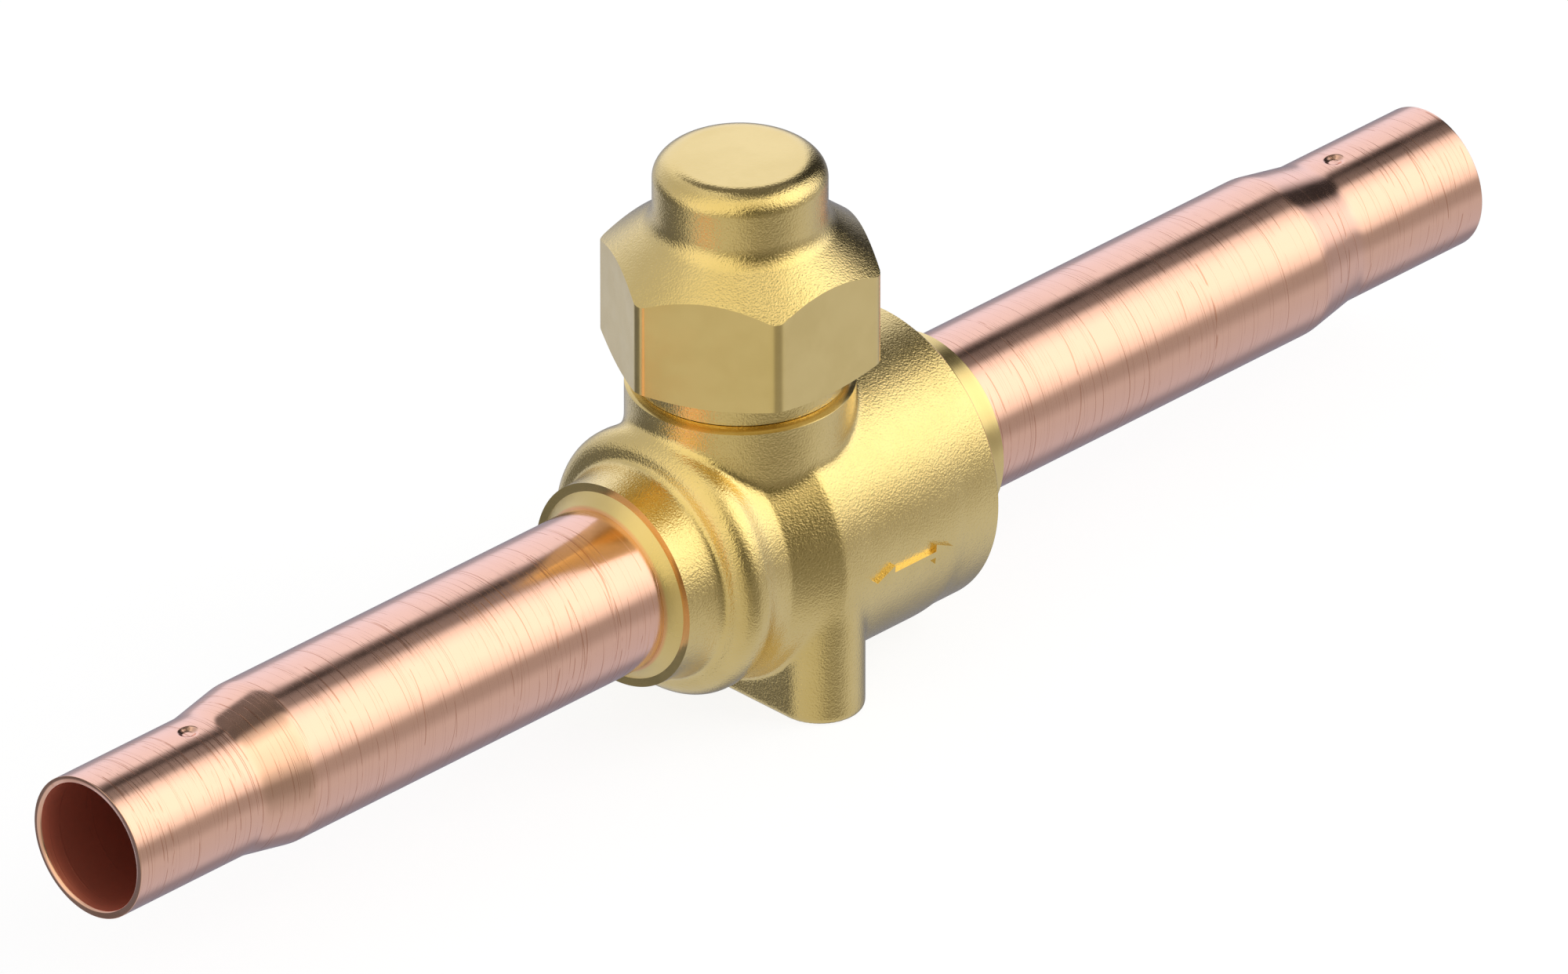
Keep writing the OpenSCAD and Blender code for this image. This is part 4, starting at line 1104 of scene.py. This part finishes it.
# %% The same tree: two punch marks, and the move toward the axis
PUNCH_FLAT = 0.35
off_punch = wire.length(wire.less(from_mouth, draw_in["Stop Distance"]), place["Y"])
reach = wire.math("DIVIDE", off_punch, draw_in["Punch Radius"])
punch = wire.math("MULTIPLY", wire.ramp(reach, PUNCH_FLAT, 1.0, 1, 0), draw_in["Punch Depth"])
to_axis = wire.combine(0, wire.math("MULTIPLY", place["Y"], -1), wire.math("MULTIPLY", height, -1))
inward = wire.vector("NORMALIZE", to_axis)
drawn_in = move_points(wire, draw_in["Geometry"], inward, wire.math("ADD", shrink, punch))
close_tree(wire, drawn_in, draw_in["Material"])

# %% Sizes of the tubes, along each from its mouth
END_LEN, TAPER_LEN, STOP_DIST, SIZED_LEN, SIZING_STEP = 16.1, 5.9, 13.1, 11.42, 0.2
END_R, TAPER_SOFT = 7.155, 0.13
PUNCH_R, PUNCH_DEPTH = 1.2, 0.34
RIM_OUT, RIM_IN = 0.04, 0.17
SIZED_PAST, DRAWN_PAST = 0.2, 2
OUTLET_SHOULDER = 21.595
TUBES = {"inlet_tube": (INLET_MOUTH, SOCKET_END, 1), "outlet_tube": (OUTLET_MOUTH, OUTLET_SHOULDER, -1)}
FINE_ZONE, FINE_STEP, TAPER_STEP, END_STEP, PLAIN_STEP = 1.4, 0.08, 0.3, 2.2, 6
print("solder end", 2 * END_R, "mm across, tube", round(2 * TUBE_R, 2))


# %% Outline of a sleeve, with rings as close as each stretch needs
def stations(start, end, spacing):
    """Evenly spaced places between two distances, without the last."""
    return evenly(start, end, max(1, round((end - start) / spacing)))[:-1]


def sleeve_outline(length):
    """Outside, bore and rounded rim of a plain sleeve, as (radius, distance from the mouth) points."""
    tube_start = END_LEN + TAPER_LEN + DRAWN_PAST
    places = [*stations(RIM_IN, STOP_DIST - FINE_ZONE, END_STEP),
              *stations(STOP_DIST - FINE_ZONE, STOP_DIST + FINE_ZONE, FINE_STEP),
              *stations(STOP_DIST + FINE_ZONE, tube_start, TAPER_STEP),
              *stations(tube_start, length, PLAIN_STEP), length]
    bore_r = TUBE_R - TUBE_WALL
    sized = [SIZING_STEP if SIZED_LEN < d < END_LEN + SIZED_PAST else 0 for d in places]
    bore = [(bore_r - step, d) for step, d in zip(sized, places)]
    rim = arc(TUBE_R - RIM_OUT, RIM_OUT, RIM_OUT, -90, 0, 4)
    return [*rim, *[(TUBE_R, d) for d in places], *bore[::-1], (bore_r + RIM_IN, 0)]


print("inlet sleeve outline:", len(sleeve_outline(SOCKET_END - INLET_MOUTH)), "points")


# %% Both tubes, from plain sleeves
def faces_axis(face):
    """True for a face that looks toward the flow axis, such as a tube's bore."""
    return face.normal.y * face.center.y + face.normal.z * (face.center.z - AXIS_Z * MM) < -0.6 * TUBE_R * MM


for name, (mouth, shoulder, inward_sign) in TUBES.items():
    outline = [(r, mouth + inward_sign * d) for r, d in sleeve_outline(abs(shoulder - mouth))]
    tube = lathe(name + "_drawn", outline, on_flow, copper, 384)
    run_tree(tube, draw_tree, {
        "Axis Height": AXIS_Z, "Mouth": mouth, "Reduction": TUBE_R - END_R, "End Length": END_LEN,
        "Taper Length": TAPER_LEN, "Softness": TAPER_SOFT, "Stop Distance": STOP_DIST,
        "Punch Radius": PUNCH_R, "Punch Depth": PUNCH_DEPTH, "Material": copper})
    second_finish(tube, bore_copper, faces_axis)
    shade(tube, 50)
    count(tube)
    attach(tube, "valve")
    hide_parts(name)

# %% [markdown]
# ## The brazing fillets
#
# Brazing alloy fills the corner between a neck's face and the tube. It is drawn up by its own surface
# tension, so its face is slightly hollow. Each fillet is turned from a three-sided outline whose long
# side bows inward.

# %% Brazing fillets
FILLETS = {"inlet_braze": (NECK_END, -1, 1.26), "outlet_braze": (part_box("body_closure")[1].x / MM, 1, 1.02)}
HOLLOW = 0.03
for name, (face, outward_sign, leg) in FILLETS.items():
    outline = [(TUBE_R, face)]
    for t in evenly(0, 1, 10):
        sag = HOLLOW * leg * math.sin(math.pi * t)
        outline.append((TUBE_R + leg * (1 - t) - sag, face + outward_sign * (leg * t - sag)))
    fillet = lathe(name + "_fillet", outline, on_flow, braze_metal, 256)
    shade(fillet, 40)
    count(fillet)
    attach(fillet, "valve")
    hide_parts(name)

# %% [markdown]
# ## The seal cap
#
# The cap is a forging too: its dome and cones keep the blasted forging skin, and only the six spanner
# flats are milled. So it is turned from its outline first, threaded inside, and then a hexagonal bar
# with rounded edges trims it, which leaves the curved edges where the flats run out into the cones.

# %% Sizes of the cap
CAP_BASE, CAP_TOP = cap_low.z - 0.06, cap_high.z
HEX_AF, HEX_ROUND = 24.0, 1.6
LOWER_BEVEL, FLAT_TOP = BONNET_FACE + 1.9, BONNET_FACE + 13.95
LOWER_SLOPE, UPPER_SLOPE = math.radians(22), math.radians(38.5)
DOME_R, DOME_FILLET, DOME_EDGE_WIDE, DOME_EDGE_HIGH = 8.33, 2.8, 2.7, 2.2
CAVITY_R, GASKET_TOP, ROOF_EXTRA, ROOF_SLOPE = 6.58, SPIGOT_RIM + 1.2, 0.5, 0.3
CAP_BORE_R, BASE_BEVEL, INNER_BEVEL = THREAD_R + 0.1, 0.1, 0.5
hex_corner_r = HEX_AF / math.sqrt(3)
print("hexagon", HEX_AF, "mm across flats,", round(2 * hex_corner_r, 2), "across sharp corners")

# %% Outer and inner outline of the cap
rim_r = hex_corner_r + 1
lower_rim = LOWER_BEVEL + (rim_r - SKIRT_R) * math.tan(LOWER_SLOPE)
upper_rim = FLAT_TOP - (rim_r - HEX_AF / 2) * math.tan(UPPER_SLOPE)
dome_foot = FLAT_TOP + (HEX_AF / 2 - DOME_R) * math.tan(UPPER_SLOPE)
fillet_z = dome_foot + DOME_FILLET * math.tan((math.pi / 2 - UPPER_SLOPE) / 2)
dome_edge = [(DOME_R + (r - 1) * DOME_EDGE_WIDE, CAP_TOP + (z - 1) * DOME_EDGE_HIGH)
             for r, z in arc(0, 0, 1, 0, 90, 24)]
outside = [
    (CAP_BORE_R + INNER_BEVEL, CAP_BASE), (SKIRT_R - BASE_BEVEL, CAP_BASE), (SKIRT_R, CAP_BASE + BASE_BEVEL),
    (SKIRT_R, LOWER_BEVEL), (rim_r, lower_rim), (rim_r, upper_rim),
    *arc(DOME_R + DOME_FILLET, fillet_z, DOME_FILLET, 270 - math.degrees(UPPER_SLOPE), 180, 10), *dome_edge]
roof = CAP_TOP - (DOME_R - CAVITY_R) - ROOF_EXTRA
cavity = [(0, CAP_TOP), (0, roof), (CAVITY_R, roof - CAVITY_R * ROOF_SLOPE), (CAVITY_R, GASKET_TOP)]
print("dome foot at", round(dome_foot, 2), "and roof at", round(roof, 2))

# %% Turned cap with its inner thread
CAP_THREAD_DEPTH, CAP_RINGS = 0.78, 84
cap_rings = [(CAP_BORE_R, height) for height in evenly(THREAD_LOW - 0.9, GASKET_TOP - 0.3, CAP_RINGS)]
cap_outline = [*outside, *cavity, (CAP_BORE_R, GASKET_TOP), *cap_rings[::-1],
               (CAP_BORE_R, CAP_BASE + INNER_BEVEL)]
cap = lathe("hexagon_cap", cap_outline, on_stem, cap_brass, 288)
run_tree(cap, thread_tree, {"Surface Radius": CAP_BORE_R, "Depth": -CAP_THREAD_DEPTH,
                            "Lowest": THREAD_LOW - 0.6, "Highest": GASKET_TOP - 0.8,
                            "Pitch": THREAD_PITCH, "Run Out": RUN_OUT, "Material": cap_brass})
count(cap)

# %% Hexagonal bar that trims the flats, and the finished cap
BAR_PAST = 5
round_centre = Vector((hex_corner_r - HEX_ROUND * 2 / math.sqrt(3), 0, 0))
hexagon = []
for corner in range(6):
    for angle in (math.radians(degrees) for degrees in evenly(-30, 30, 12)):
        spot = round_centre + Vector((HEX_ROUND * math.cos(angle), HEX_ROUND * math.sin(angle), 0))
        hexagon.append((Matrix.Rotation(math.radians(60 * corner), 3, "Z") @ spot).xy)
hexagon_bar = bar("hexagon_bar", hexagon, CAP_BASE - BAR_PAST, CAP_TOP + BAR_PAST, milled_brass)
combine(cap, hexagon_bar, "INTERSECT")
shade(cap, 30)
count(cap)
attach(cap, "cap")
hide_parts("seal_cap")

# %% [markdown]
# ## The closure
#
# The closure is turned from bar: a flange that seats in the barrel's mouth, a threaded shank with a
# groove for its sealing ring, and the outlet neck. It is one outline, turned round the flow axis.

# %% Body closure
CLOSURE_FACE, CLOSURE_END, NECK_OUT_R, NECK_ROUND = BARREL_END - 0.26, 25.595, 9.885, 0.8
SHANK_R, SHANK_BEVEL, FLANGE_R, FLANGE_T, FLANGE_BEVEL = CLOSURE_BORE_R - 0.05, 0.4, 13.3, 2.2, 0.3
GROOVE_R, GROOVE_START, GROOVE_END = SHANK_R - 1.3, -POCKET_MOUTH + 1.6, -POCKET_MOUTH + 3.2
closure = lathe("turned_closure", [
    (PORT_R, -SEAT_BACK), (SEAT_POCKET_R, -SEAT_BACK), (SEAT_POCKET_R, -POCKET_MOUTH),
    (SHANK_R - SHANK_BEVEL, -POCKET_MOUTH), (SHANK_R, -POCKET_MOUTH + SHANK_BEVEL), (SHANK_R, GROOVE_START),
    (GROOVE_R, GROOVE_START), (GROOVE_R, GROOVE_END), (SHANK_R, GROOVE_END),
    (SHANK_R, CLOSURE_FACE - FLANGE_T), (FLANGE_R, CLOSURE_FACE - FLANGE_T),
    (FLANGE_R, CLOSURE_FACE - FLANGE_BEVEL), (FLANGE_R - FLANGE_BEVEL, CLOSURE_FACE),
    *arc(NECK_OUT_R + NECK_ROUND, CLOSURE_FACE + NECK_ROUND, NECK_ROUND, 270, 180, 6),
    (NECK_OUT_R - 0.1, CLOSURE_END - 0.1), (NECK_OUT_R - 0.2, CLOSURE_END), (SOCKET_R, CLOSURE_END),
    (SOCKET_R, OUTLET_SHOULDER), (PORT_R, OUTLET_SHOULDER)], on_flow, turned_brass)
shade(closure, 40)
count(closure)
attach(closure, "valve")
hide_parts("body_closure")

# %% [markdown]
# ## The inner pieces
#
# The CAD shapes of the small pieces are right, but each is a loose set of triangles with flat faces.
# A copy with its doubles merged and its round faces shaded smooth keeps the exact shape and takes the
# light as a turned or moulded piece does.

# %% Inner pieces: which finish each takes and which body it rides on
INNER = {
    "closure_o_ring": (flow_rubber, "valve"), "ball": (chromed_ball, "stem"),
    "inlet_seat": (seat_plastic, "valve"), "outlet_seat": (seat_plastic, "valve"),
    "inlet_seat_o_ring": (flow_rubber, "valve"), "outlet_seat_o_ring": (flow_rubber, "valve"),
    "stem": (stem_steel, "stem"), "stem_thrust_washer": (stem_plastic, "valve"),
    "stem_o_ring_lower": (stem_rubber, "stem"), "stem_o_ring_upper": (stem_rubber, "stem"),
    "stem_backup_ring": (stem_plastic, "stem"), "stop_washer": (stem_steel, "stem"),
    "stem_clip": (clip_steel, "stem"), "cap_gasket": (gasket_plastic, "cap_seal")}
print("inner pieces:", len(INNER))

# %% Smooth copies of the CAD shapes
MERGE = 0.002 * MM
for node, (finish, body) in INNER.items():
    bm = bmesh.new()
    bm.from_mesh(bpy.data.objects[node].data)
    bmesh.ops.remove_doubles(bm, verts=bm.verts, dist=MERGE)
    bmesh.ops.recalc_face_normals(bm, faces=bm.faces)
    piece = mesh_object("smooth_" + node, bm, finish)
    shade(piece, 30)
    count(piece)
    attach(piece, body)
    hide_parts(node)

# %% [markdown]
# ## The view transform
#
# The render shows each colour through Blender's plain view transform.

# %% Plain view transform
bpy.context.scene.view_settings.view_transform = "Standard"
